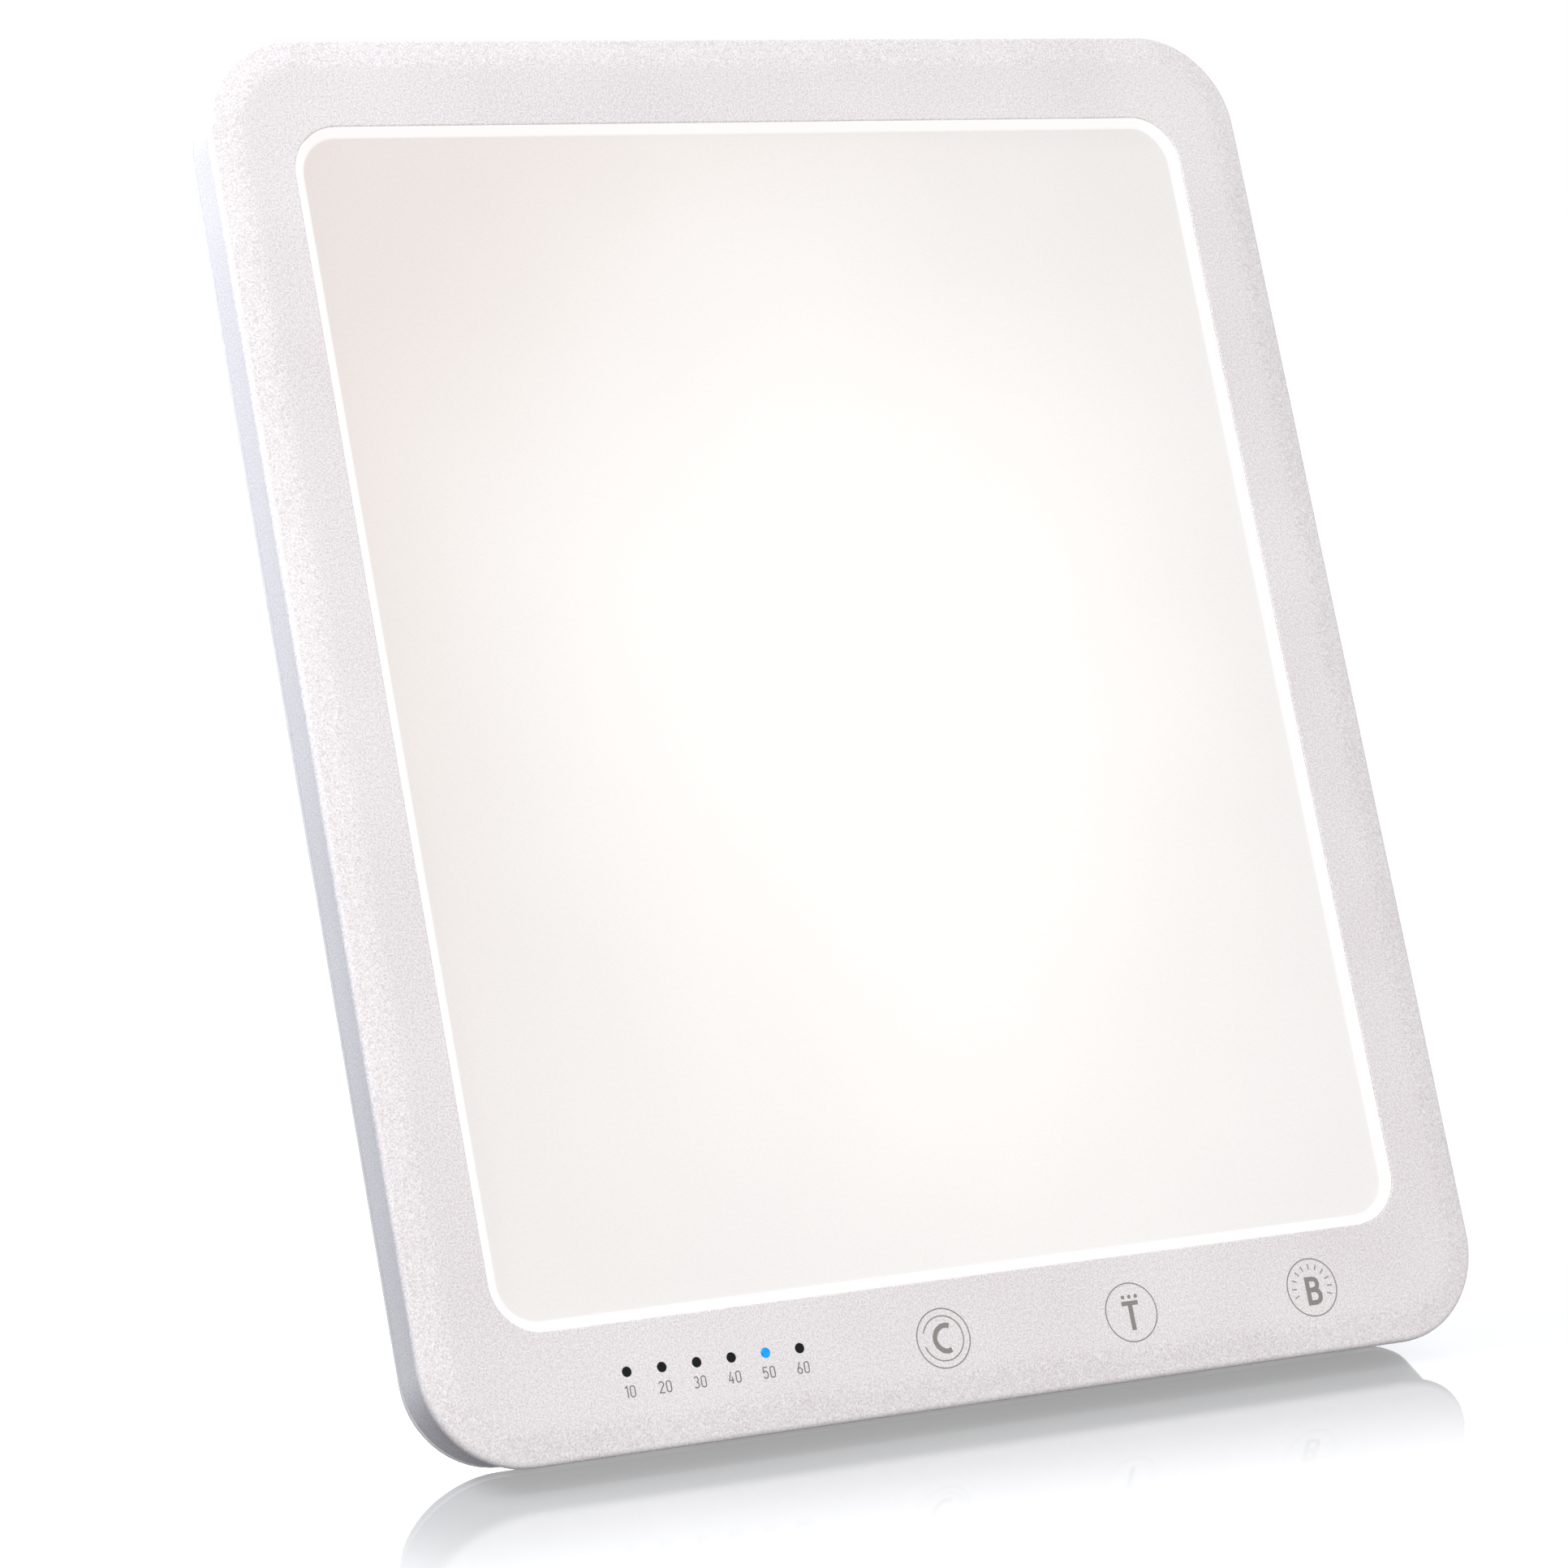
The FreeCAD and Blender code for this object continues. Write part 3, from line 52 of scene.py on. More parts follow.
hinge = Vector(frame["joints"][0]["pos_m"])
leanTurn = Matrix.Rotation(math.radians(-panel["lean"]), 4, "X")
hingeInPanel = Vector((0, panel["hingeDepth"], panel["hingeHeight"])) * mm
panelOrigin = hinge - leanTurn @ hingeInPanel
panelPlace = Matrix.Translation(panelOrigin) @ leanTurn


def paint(red, green, blue):  # sRGB up to 255 as a linear colour
    linear = []
    for level in (red, green, blue):
        level /= 255
        linear.append(level / 12.92 if level <= 0.04045 else ((level + 0.055) / 1.055) ** 2.4)
    return (*linear, 1)


# Node helpers shared by the finishes.


def startFinish(name, roughness=0.5, metallic=0.0, **sockets):
    material = bpy.data.materials.new(name)
    material.use_nodes = True
    tree = material.node_tree
    shader = tree.nodes["Principled BSDF"]
    shader.inputs["Roughness"].default_value = roughness
    shader.inputs["Metallic"].default_value = metallic
    for socket, value in sockets.items():
        shader.inputs[socket.replace("_", " ")].default_value = value
    return material, tree, shader


def panelVector(tree):  # object coordinates turned into the panel's upright frame, in metres
    place = tree.nodes.new("ShaderNodeTexCoord")
    mapping = tree.nodes.new("ShaderNodeMapping")
    mapping.inputs["Rotation"].default_value = (math.radians(panel["lean"]), 0, 0)
    mapping.inputs["Location"].default_value = -(leanTurn.inverted() @ panelOrigin)
    tree.links.new(place.outputs["Object"], mapping.inputs["Vector"])
    return mapping.outputs["Vector"]


def noise(tree, vector, size, detail=2, roughness=0.5):  # lumps of about this size in mm
    node = tree.nodes.new("ShaderNodeTexNoise")
    node.inputs["Scale"].default_value = 1 / (size * mm)
    node.inputs["Detail"].default_value = detail
    node.inputs["Roughness"].default_value = roughness
    tree.links.new(vector, node.inputs["Vector"])
    return node.outputs["Fac"]


def ramp(tree, factor, *stops):  # stops are pairs of place and colour
    node = tree.nodes.new("ShaderNodeValToRGB")
    elements = node.color_ramp.elements
    while len(elements) < len(stops):
        elements.new(0.5)
    for element, (place, colour) in zip(elements, stops):
        element.position = place
        element.color = colour
    tree.links.new(factor, node.inputs["Fac"])
    return node.outputs["Color"]


def calc(tree, operation, first, second):  # one sum on two sockets or numbers
    node = tree.nodes.new("ShaderNodeMath")
    node.operation = operation
    for socket, value in zip(node.inputs, (first, second)):
        if isinstance(value, (int, float)):
            socket.default_value = value
        else:
            tree.links.new(value, socket)
    return node.outputs[0]


def spread(tree, value, fromMin, fromMax, toMin=0.0, toMax=1.0, smooth=False):
    node = tree.nodes.new("ShaderNodeMapRange")
    node.interpolation_type = "SMOOTHSTEP" if smooth else "LINEAR"
    for label, number in zip(("From Min", "From Max", "To Min", "To Max"), (fromMin, fromMax, toMin, toMax)):
        node.inputs[label].default_value = number
    tree.links.new(value, node.inputs["Value"])
    return node.outputs["Result"]


def blendColours(tree, factor, first, second, how="MIX"):
    node = tree.nodes.new("ShaderNodeMix")
    node.data_type = "RGBA"
    node.blend_type = how
    for socket, value in ((node.inputs[0], factor), (node.inputs[6], first), (node.inputs[7], second)):
        if hasattr(value, "is_linked"):
            tree.links.new(value, socket)
        else:
            socket.default_value = value
    return node.outputs[2]


def relief(tree, shader, height, depth, strength=1.0):  # bump of this depth in mm
    node = tree.nodes.new("ShaderNodeBump")
    node.inputs["Distance"].default_value = depth * mm
    node.inputs["Strength"].default_value = strength
    tree.links.new(height, node.inputs["Height"])
    tree.links.new(node.outputs["Normal"], shader.inputs["Normal"])


# Finishes of the lamp.


# Moulded plastic: shares of the fine grain, flakes and clouds in its colour, and where the painted cool shade on
# its side begins.
moulding = {"speck": 0.76, "flake": 0.12, "cloud": 0.12, "flakeSize": 2.4, "cloudSize": 38,
            "darkStop": 0.36, "lightStop": 0.64, "sideShadeStart": 1.2, "sideShadeEnd": 2.0}


def mouldedPlastic(name, light, dark, grain=0.34, depth=0.022, roughness=0.5, paintedSideShade=None):
    material, tree, shader = startFinish(name, roughness, Specular_IOR_Level=0.2)
    vector = panelVector(tree)
    speck = noise(tree, vector, grain, 2, 0.7)
    flake = noise(tree, vector, grain * moulding["flakeSize"], 1, 0.5)
    cloud = noise(tree, vector, moulding["cloudSize"], 2)
    mixed = calc(tree, "ADD", calc(tree, "MULTIPLY", speck, moulding["speck"]),
                 calc(tree, "MULTIPLY", flake, moulding["flake"]))
    mixed = calc(tree, "ADD", mixed, calc(tree, "MULTIPLY", cloud, moulding["cloud"]))
    colour = ramp(tree, mixed, (moulding["darkStop"], dark), (moulding["lightStop"], light))
    if paintedSideShade:  # painted shade: the side of the rim and the wall behind it are darkened to a cooler white, as they look in cool shade
        split = tree.nodes.new("ShaderNodeSeparateXYZ")
        tree.links.new(vector, split.inputs[0])
        behind = spread(tree, split.outputs["Y"], moulding["sideShadeStart"] * mm, moulding["sideShadeEnd"] * mm)
        colour = blendColours(tree, behind, colour, paintedSideShade, "MULTIPLY")
    tree.links.new(colour, shader.inputs["Base Color"])
    relief(tree, shader, speck, depth)
    return material


def brushedMetal(name, light, dark, roughness=0.35, stretch=24):
    material, tree, shader = startFinish(name, roughness, 1.0)
    place = tree.nodes.new("ShaderNodeTexCoord")
    mapping = tree.nodes.new("ShaderNodeMapping")
    mapping.inputs["Scale"].default_value = (1, stretch, stretch)
    tree.links.new(place.outputs["Object"], mapping.inputs["Vector"])
    streak = noise(tree, mapping.outputs["Vector"], 6, 3, 0.6)
    tree.links.new(ramp(tree, streak, (0.3, dark), (0.7, light)), shader.inputs["Base Color"])
    relief(tree, shader, streak, 0.01, 0.5)
    return material


def plainStock(name, light, dark, size, roughness=0.5, depth=0.01):
    material, tree, shader = startFinish(name, roughness)
    vector = panelVector(tree)
    mottle = noise(tree, vector, size, 3, 0.55)
    tree.links.new(ramp(tree, mottle, (0.35, dark), (0.65, light)), shader.inputs["Base Color"])
    relief(tree, shader, mottle, depth)
    return material


# How brightly the opal sheet glows: middle of the window, its rim, its foot and the bevel round it.
glow = {"middle": 0.60, "rim": 0.397, "foot": 0.045, "bevel": 0.60, "spread": 1.35,
        "centreX": 3, "centreZ": 6, "flatDepth": 1.25, "cloudSize": 60, "waver": 0.35, "grain": 0.4,
        "warm": (1.0, 0.865, 0.805, 1), "neutral": (1.0, 0.975, 0.95, 1), "white": (1.0, 0.97, 0.93, 1)}


def litOpal(name):
    material, tree, shader = startFinish(name, 0.32, Specular_IOR_Level=0.3)
    vector = panelVector(tree)
    split = tree.nodes.new("ShaderNodeSeparateXYZ")
    tree.links.new(vector, split.inputs[0])
    halfWide = panel["windowWidth"] / 2 * mm
    halfTall = panel["windowHeight"] / 2 * mm
    across = calc(tree, "DIVIDE", calc(tree, "SUBTRACT", split.outputs["X"], glow["centreX"] * mm), halfWide)
    upward = calc(tree, "DIVIDE", calc(tree, "SUBTRACT", split.outputs["Z"], glow["centreZ"] * mm), halfTall)
    square = calc(tree, "ADD", calc(tree, "MULTIPLY", across, across), calc(tree, "MULTIPLY", upward, upward))
    radius = calc(tree, "POWER", square, 0.5)
    clouds = calc(tree, "SUBTRACT", noise(tree, vector, glow["cloudSize"], 2), 0.5)
    wavy = calc(tree, "ADD", radius, calc(tree, "MULTIPLY", clouds, glow["waver"]))
    # warmer towards the upper left, neutral to the right and at the foot
    corner = calc(tree, "SUBTRACT", upward, across)
    edgeTone = blendColours(tree, spread(tree, corner, -0.4, 1.5), glow["neutral"], glow["warm"])
    inward = spread(tree, wavy, 0.25, glow["spread"], 0, 1, True)
    tone = blendColours(tree, inward, glow["white"], edgeTone)
    flat = spread(tree, wavy, 0.2, glow["spread"], glow["middle"], glow["rim"], True)
    flat = calc(tree, "ADD", flat, spread(tree, upward, -0.2, -1.0, 0, glow["foot"], True))
    onBevel = spread(tree, split.outputs["Y"], (glow["flatDepth"] - 0.02) * mm,
                     (glow["flatDepth"] - 0.25) * mm)
    blend = tree.nodes.new("ShaderNodeMix")
    tree.links.new(onBevel, blend.inputs[0])
    tree.links.new(flat, blend.inputs[2])
    blend.inputs[3].default_value = glow["bevel"]
    grain = noise(tree, vector, glow["grain"], 2)
    tree.links.new(ramp(tree, grain, (0.3, paint(176, 174, 172)), (0.7, paint(182, 180, 178))),
                   shader.inputs["Base Color"])
    tree.links.new(blendColours(tree, onBevel, tone, (1, 0.985, 0.975, 1)), shader.inputs["Emission Color"])
    tree.links.new(blend.outputs[0], shader.inputs["Emission Strength"])
    relief(tree, shader, grain, 0.006)
    return material


def litLens(name, body, light, strength):
    material, tree, shader = startFinish(name, 0.6, Specular_IOR_Level=0.12)
    vector = panelVector(tree)
    speck = noise(tree, vector, 0.6, 2)
    tree.links.new(ramp(tree, speck, (0.3, body), (0.7, light)), shader.inputs["Base Color"])
    shader.inputs["Emission Color"].default_value = light
    shader.inputs["Emission Strength"].default_value = strength
    return material


def circuitBoard(name):
    material, tree, shader = startFinish(name, 0.38, Coat_Weight=0.4)
    vector = panelVector(tree)
    tracks = tree.nodes.new("ShaderNodeTexBrick")
    tracks.inputs["Scale"].default_value = 420
    tracks.inputs["Mortar Size"].default_value = 0.08
    tracks.inputs["Color1"].default_value = paint(26, 92, 58)
    tracks.inputs["Color2"].default_value = paint(22, 82, 52)
    tracks.inputs["Mortar"].default_value = paint(60, 128, 84)
    mapping = tree.nodes.new("ShaderNodeMapping")
    mapping.inputs["Rotation"].default_value = (math.radians(90), 0, 0)
    tree.links.new(vector, mapping.inputs["Vector"])
    tree.links.new(mapping.outputs["Vector"], tracks.inputs["Vector"])
    tree.links.new(tracks.outputs["Color"], shader.inputs["Base Color"])
    relief(tree, shader, tracks.outputs["Fac"], 0.03, 0.5)
    return material


finishes = {
    # the shell's rim side and wall get a painted cool shade, darker and bluer than its face
    "shell": mouldedPlastic("pearlShellPlastic", paint(255, 252, 252), paint(214, 205, 207), 0.3,
                            paintedSideShade=(0.90, 0.925, 0.96, 1)),
    "back": mouldedPlastic("whiteBackPlastic", paint(238, 238, 241), paint(224, 224, 228), 0.3, 0.02),
    "diffuser": litOpal("litOpalAcrylic"),
    "film": plainStock("diffuserFilm", paint(240, 240, 240), paint(232, 232, 233), 3, 0.6),
    "guide": plainStock("clearGuideAcrylic", paint(238, 242, 244), paint(228, 234, 238), 2, 0.08),
    "reflector": plainStock("whiteReflector", paint(246, 246, 244), paint(238, 238, 236), 4, 0.7),
    "tray": brushedMetal("rolledAluminium", paint(206, 208, 210), paint(178, 181, 184)),
    "strip": plainStock("whiteStripBoard", paint(238, 238, 236), paint(226, 227, 225), 2, 0.4),
    "chip": plainStock("phosphorChips", paint(250, 214, 96), paint(240, 196, 70), 0.6, 0.35),
    "board": circuitBoard("boardGreen"),
    "component": plainStock("componentBlack", paint(36, 36, 38), paint(26, 26, 28), 0.5, 0.55),
    "capacitor": brushedMetal("capacitorCan", paint(200, 202, 206), paint(170, 173, 178), 0.3),
    "wire": plainStock("wireSleeve", paint(178, 40, 34), paint(158, 30, 28), 1.5, 0.45),
    "lens": litLens("darkLens", paint(10, 12, 12), paint(14, 16, 16), 0),
    "lens_lit": litLens("blueLens", paint(8, 60, 96), paint(20, 155, 240), 0.62),
    "electrode": plainStock("electrodeFoam", paint(74, 74, 78), paint(58, 58, 62), 0.5, 0.9, 0.05),
    "jack": plainStock("jackBlack", paint(30, 30, 32), paint(20, 20, 22), 0.5, 0.4, 0.02),
    "contact": brushedMetal("platedContact", paint(226, 208, 160), paint(206, 186, 138), 0.22),
    "steel": brushedMetal("zincSteel", paint(188, 190, 194), paint(150, 153, 158), 0.32),
    "washer": brushedMetal("springWasher", paint(196, 198, 202), paint(166, 168, 172), 0.3),
    "rubber": plainStock("greyRubber", paint(150, 152, 156), paint(138, 140, 144), 0.5, 0.85, 0.03),
    "clamp": mouldedPlastic("clampPlastic", paint(236, 236, 238), paint(226, 226, 229)),
}
keyInk = plainStock("greyKeyInk", paint(140, 135, 131), paint(132, 127, 123), 0.3, 0.55, 0.004)
digitInk = plainStock("greyDigitInk", paint(118, 114, 114), paint(110, 106, 106), 0.3, 0.55, 0.004)

slotOfNode = {entry["node"]: entry["material_slot"] for entry in frame["record"]["subparts"]}

for nodeName, cadObject in frame["nodes"].items():
    finish = finishes[slotOfNode[nodeName]]
    if not cadObject.material_slots:
        cadObject.data.materials.append(finish)
    for materialSlot in cadObject.material_slots:
        materialSlot.material = finish
print("materials made")

# Makers of meshes, all in the panel's frame and in mm.


def roundedLoop(width, height, radius, depth, rise=0.0, steps=20):
    points = []
    for quarter, (sideways, upward) in enumerate([(1, 1), (-1, 1), (-1, -1), (1, -1)]):
        for step in range(steps + 1):
            angle = (quarter + step / steps) * math.pi / 2
            x = sideways * (width / 2 - radius) + radius * math.cos(angle)
            z = rise + upward * (height / 2 - radius) + radius * math.sin(angle)
            points.append((x, depth, z))
    return points


def loopMesh(name, loops, closeRing=False, capFirst=False, capLast=False):
    mesh = bmesh.new()
    rings = [[mesh.verts.new(Vector(point) * mm) for point in loop] for loop in loops]
    pairs = list(zip(rings, rings[1:]))
    if closeRing:
        pairs.append((rings[-1], rings[0]))
    for first, second in pairs:
        for index in range(len(first)):
            after = (index + 1) % len(first)
            mesh.faces.new((first[index], first[after], second[after], second[index]))
    if capFirst:
        mesh.faces.new(rings[0])
    if capLast:
        mesh.faces.new(rings[-1])
    bmesh.ops.recalc_face_normals(mesh, faces=mesh.faces)
    data = bpy.data.meshes.new(name)
    mesh.to_mesh(data)
    mesh.free()
    return data


def addPiece(name, data, finish, body="housing", replaced=(), place=panelPlace, smooth=35,
             evenNormals=False):
    data.transform(place)
    data.shade_smooth()
    data.set_sharp_from_angle(angle=math.radians(smooth))
    data.materials.clear()
    data.materials.append(finish)
    piece = bpy.data.objects.new(name, data)
    bpy.context.scene.collection.objects.link(piece)
    if evenNormals:
        modifier = piece.modifiers.new("evenNormals", "WEIGHTED_NORMAL")
        modifier.keep_sharp = True
    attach(piece, body)
    if replaced:
        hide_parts(*replaced)
    return piece


def inset(amount):  # size and corner of the plate's outline moved in
    return panel["width"] - 2 * amount, panel["height"] - 2 * amount, panel["corner"] - amount


def window(grow):  # size and corner of the window moved out
    return (panel["windowWidth"] + 2 * grow, panel["windowHeight"] + 2 * grow, panel["windowRadius"] + grow)


# Front shell: flat face, soft shoulder, rounded rim that stands over the side wall.
shell = {"face": 2.2, "edgeRound": 0.22, "shoulderWidth": 5, "shoulderDrop": 1, "rimRound": 1.1,
         "rimDepth": 2.5, "underEdge": 0.25, "rimInset": 2, "underFillet": 0.3, "seamDepth": 13.3,
         "seamEdge": 0.2, "softStart": 1.6, "wall": 2, "lensFirst": -64.5, "lensPitch": 6.2, "lensCount": 6,
         "lensLevel": -106.25, "holeRadius": 0.85, "holeMiddle": 1.1, "holeLength": 4}


def shellLoops():
    loops = [roundedLoop(*window(0), shell["face"], panel["windowRise"])]
    edge = shell["edgeRound"]
    for turn in (0, 30, 60, 90):
        angle = math.radians(turn)
        grow = edge * (1 - math.cos(angle))
        loops.append(roundedLoop(*window(grow), edge * (1 - math.sin(angle)), panel["windowRise"]))
    wide, drop = shell["shoulderWidth"], shell["shoulderDrop"]
    slope = drop / wide
    soft = shell["softStart"]  # the shoulder starts in a long soft curve
    for share in (1, 0.5, 0, -0.5, -1, -1.625):
        amount = wide + soft * share
        lean = min(max((wide + soft - amount) / (2 * soft), 0), 1)
        depth = slope * soft * lean * lean if lean < 1 else slope * (wide - amount)
        loops.append(roundedLoop(*inset(amount), depth))
    tilt = math.atan(slope)
    radius = shell["rimRound"]
    centreDepth = slope * (wide - radius) + radius / math.cos(tilt)
    for step in range(9):
        angle = tilt + (math.pi / 2 - tilt) * step / 8
        loops.append(roundedLoop(*inset(radius - radius * math.sin(angle)),
                                 centreDepth - radius * math.cos(angle)))
    under, bottom, side = shell["underEdge"], shell["rimDepth"], shell["rimInset"]
    for turn in (0, 30, 60, 90):
        angle = math.radians(turn)
        loops.append(roundedLoop(*inset(under * (1 - math.cos(angle))),
                                 bottom - under * (1 - math.sin(angle))))
    fillet = shell["underFillet"]
    for turn in (0, 45, 90):
        angle = math.radians(turn)
        loops.append(roundedLoop(*inset(side - fillet * (1 - math.sin(angle))),
                                 bottom + fillet * (1 - math.cos(angle))))
    seam, bevel = shell["seamDepth"], shell["seamEdge"]
    loops.append(roundedLoop(*inset(side), seam - bevel))
    loops.append(roundedLoop(*inset(side + bevel * 0.3), seam - bevel * 0.3))
    loops.append(roundedLoop(*inset(side + bevel), seam))
    loops.append(roundedLoop(*inset(side + shell["wall"]), seam))
    loops.append(roundedLoop(*inset(side + shell["wall"]), shell["face"]))
    return loops


def lensCutter():  # six short pegs in one mesh
    mesh = bmesh.new()
    radius = shell["holeRadius"] * mm
    for index in range(shell["lensCount"]):
        across = shell["lensFirst"] + index * shell["lensPitch"]
        centre = Vector((across, shell["holeMiddle"], shell["lensLevel"])) * mm
        place = Matrix.Translation(centre) @ Matrix.Rotation(math.pi / 2, 4, "X")
        bmesh.ops.create_cone(mesh, cap_ends=True, segments=40, radius1=radius, radius2=radius,
                              depth=shell["holeLength"] * mm, matrix=place)
    data = bpy.data.meshes.new("lensCutter")
    mesh.to_mesh(data)
    mesh.free()
    return data


def cutOut(data, cutterData, name):
    whole = bpy.data.objects.new("whole", data)
    cutter = bpy.data.objects.new("cutter", cutterData)
    for item in (whole, cutter):
        bpy.context.scene.collection.objects.link(item)
    modifier = whole.modifiers.new("holes", "BOOLEAN")
    modifier.operation = "DIFFERENCE"
    modifier.solver = "EXACT"
    modifier.object = cutter
    graph = bpy.context.evaluated_depsgraph_get()
    result = bpy.data.meshes.new_from_object(whole.evaluated_get(graph), depsgraph=graph)
    result.name = name
    bpy.data.objects.remove(whole)
    bpy.data.objects.remove(cutter)
    return result


shellData = cutOut(loopMesh("frontShell", shellLoops(), closeRing=True), lensCutter(), "frontShell")
addPiece("frontShell", shellData, finishes["shell"], replaced=["front_cover"], smooth=40,
         evenNormals=True)
print("front shell made")

# Opal diffuser: a shallow tray with a bright bevelled rim in the window and a flange behind the face.
opal = {"gap": 0.1, "land": 0.1, "bevelWidth": 1.8, "step": 0.15, "bevelDepth": 1.1, "thickness": 2,
        "reach": 2, "faceBack": 2.2}


def opalLoops():  # each pair is how far outside the window the loop runs, and its depth
    outer = -opal["gap"]
    front = opal["step"] + opal["bevelDepth"]
    back = front + opal["thickness"]
    inner = outer - opal["land"] - opal["bevelWidth"]
    pairs = [(opal["reach"], back), (opal["reach"], opal["faceBack"]), (outer, opal["faceBack"]),
             (outer, opal["step"] + 0.06), (outer - 0.06, opal["step"]), (outer - opal["land"], opal["step"]),
             (inner + 0.18, front - 0.11), (inner + 0.05, front - 0.04), (inner - 0.1, front)]
    return [roundedLoop(*window(grow), depth, panel["windowRise"]) for grow, depth in pairs]


opalData = loopMesh("opalDiffuser", opalLoops(), capFirst=True, capLast=True)
addPiece("opalDiffuser", opalData, finishes["diffuser"], replaced=["diffuser"], smooth=25)
print("diffuser made")


# Smooth copies of the moulded parts whose CAD shape is already right.


def smoothCopy(nodeName, name, finish, body, angle=30):
    data = frame["nodes"][nodeName].data.copy()
    mesh = bmesh.new()
    mesh.from_mesh(data)
    bmesh.ops.remove_doubles(mesh, verts=mesh.verts, dist=0.002 * mm)
    mesh.to_mesh(data)
    mesh.free()
    addPiece(name, data, finish, body, [nodeName], Matrix.Identity(4), angle, True)


smoothCopy("rear_cover", "rearShell", finishes["back"], "housing", 50)
smoothCopy("stand_leg", "kickstand", finishes["back"], "stand", 40)
smoothCopy("dc_jack", "powerSocket", finishes["jack"], "housing")
print("rear shell, kickstand and socket made")


# Geometry Nodes: trees with named sizes, run once and kept as plain meshes.


def startTree(name, sizes):
    tree = bpy.data.node_groups.new(name, "GeometryNodeTree")
    tree.interface.new_socket("Geometry", in_out="INPUT", socket_type="NodeSocketGeometry")
    for label, value in sizes.items():
        kind = "NodeSocketInt" if isinstance(value, int) else "NodeSocketFloat"
        tree.interface.new_socket(label, in_out="INPUT", socket_type=kind).default_value = value
    tree.interface.new_socket("Geometry", in_out="OUTPUT", socket_type="NodeSocketGeometry")
    return tree, tree.nodes.new("NodeGroupInput"), tree.nodes.new("NodeGroupOutput")


def node(tree, kind, inputs=(), **settings):
    made = tree.nodes.new(kind)
    for setting, value in settings.items():
        setattr(made, setting, value)
    for socket, value in dict(inputs).items():
        target = made.inputs[socket]
        if hasattr(value, "is_linked"):
            tree.links.new(value, target)
        else:
            target.default_value = value
    return made


def shifted(tree, geometry, **along):  # moved by these amounts along X, Y or Z
    offset = node(tree, "ShaderNodeCombineXYZ", along)
    moved = node(tree, "GeometryNodeTransform", {"Geometry": geometry, "Translation": offset.outputs[0]})
    return moved.outputs["Geometry"]


def turned(tree, geometry, quarters):  # turned about X by this many quarter turns
    rotation = (quarters * math.pi / 2, 0, 0)
    made = node(tree, "GeometryNodeTransform", {"Geometry": geometry, "Rotation": rotation})
    return made.outputs["Geometry"]


def finishTree(tree, last, target, finish):
    real = node(tree, "GeometryNodeRealizeInstances", {"Geometry": last})
    coloured = node(tree, "GeometryNodeSetMaterial",
                    {"Geometry": real.outputs["Geometry"], "Material": finish})
    tree.links.new(coloured.outputs["Geometry"], target.inputs[0])


def runTree(tree, sizes, points, name):  # points in mm; returns a plain mesh
    data = bpy.data.meshes.new(name + "Points")
    data.from_pydata([Vector(point) * mm for point in points], [], [])
    holder = bpy.data.objects.new(name + "Holder", data)
    bpy.context.scene.collection.objects.link(holder)
    modifier = holder.modifiers.new("build", "NODES")
    modifier.node_group = tree
    for item in tree.interface.items_tree:
        if item.in_out == "INPUT" and item.name in sizes:
            modifier[item.identifier] = sizes[item.name]
    graph = bpy.context.evaluated_depsgraph_get()
    result = bpy.data.meshes.new_from_object(holder.evaluated_get(graph), depsgraph=graph)
    result.name = name
    holder.modifiers.clear()
    bpy.data.objects.remove(holder)
    return result


# Cover screws: pan heads with a cross recess, sunk in the wells of the rear cover.
screw = {"Head Radius": 2.6 * mm, "Head Height": 1.25 * mm, "Crown Height": 0.55 * mm,
         "Crown Radius": 1.9 * mm, "Shank Radius": 1.3 * mm, "Shank Length": 6.8 * mm,
         "Recess Length": 2.5 * mm, "Recess Width": 0.62 * mm, "Recess Depth": 1.1 * mm}
screwPlaces = [(-88.8, 11, -108), (88.8, 11, -108), (-85.2, 11, 110), (85.2, 11, 110), (0, 11, 110)]


def screwTree(finish):
    tree, source, target = startTree("crossScrew", screw)
    size = source.outputs
    headHeight, crownHeight = size["Head Height"], size["Crown Height"]
    head = node(tree, "GeometryNodeMeshCylinder",
                {"Vertices": 36, "Radius": size["Head Radius"], "Depth": headHeight})
    crown = node(tree, "GeometryNodeMeshCone", {"Vertices": 36, "Radius Top": size["Crown Radius"],
                                                "Radius Bottom": size["Head Radius"], "Depth": crownHeight})
    shank = node(tree, "GeometryNodeMeshCylinder",
                 {"Vertices": 24, "Radius": size["Shank Radius"], "Depth": size["Shank Length"]})
    union = node(tree, "GeometryNodeMeshBoolean", operation="UNION")
    # the shank reaches a little into the head
    for part, height in ((head, calc(tree, "MULTIPLY", headHeight, 0.5)), (crown, headHeight),
                         (shank, calc(tree, "MULTIPLY", size["Shank Length"], -0.499))):
        tree.links.new(shifted(tree, part.outputs["Mesh"], Z=height), union.inputs["Mesh 2"])
    difference = node(tree, "GeometryNodeMeshBoolean", {"Mesh 1": union.outputs["Mesh"]},
                      operation="DIFFERENCE")
    top = calc(tree, "ADD", headHeight, crownHeight)
    doubled = calc(tree, "MULTIPLY", size["Recess Depth"], 2)
    for along, aside in (("X", "Y"), ("Y", "X")):
        extent = node(tree, "ShaderNodeCombineXYZ",
                      {along: size["Recess Length"], aside: size["Recess Width"], "Z": doubled})
        bar = node(tree, "GeometryNodeMeshCube", {"Size": extent.outputs[0]})
        tree.links.new(shifted(tree, bar.outputs["Mesh"], Z=top), difference.inputs["Mesh 2"])
    outward = turned(tree, difference.outputs["Mesh"], -1)  # the screw's axis points out of the back
    copies = node(tree, "GeometryNodeInstanceOnPoints",
                  {"Points": source.outputs["Geometry"], "Instance": outward})
    finishTree(tree, copies.outputs["Instances"], target, finish)
    return tree


screwData = runTree(screwTree(finishes["steel"]), screw, screwPlaces, "crossScrews")
addPiece("crossScrews", screwData, finishes["steel"], replaced=["cover_screws"])

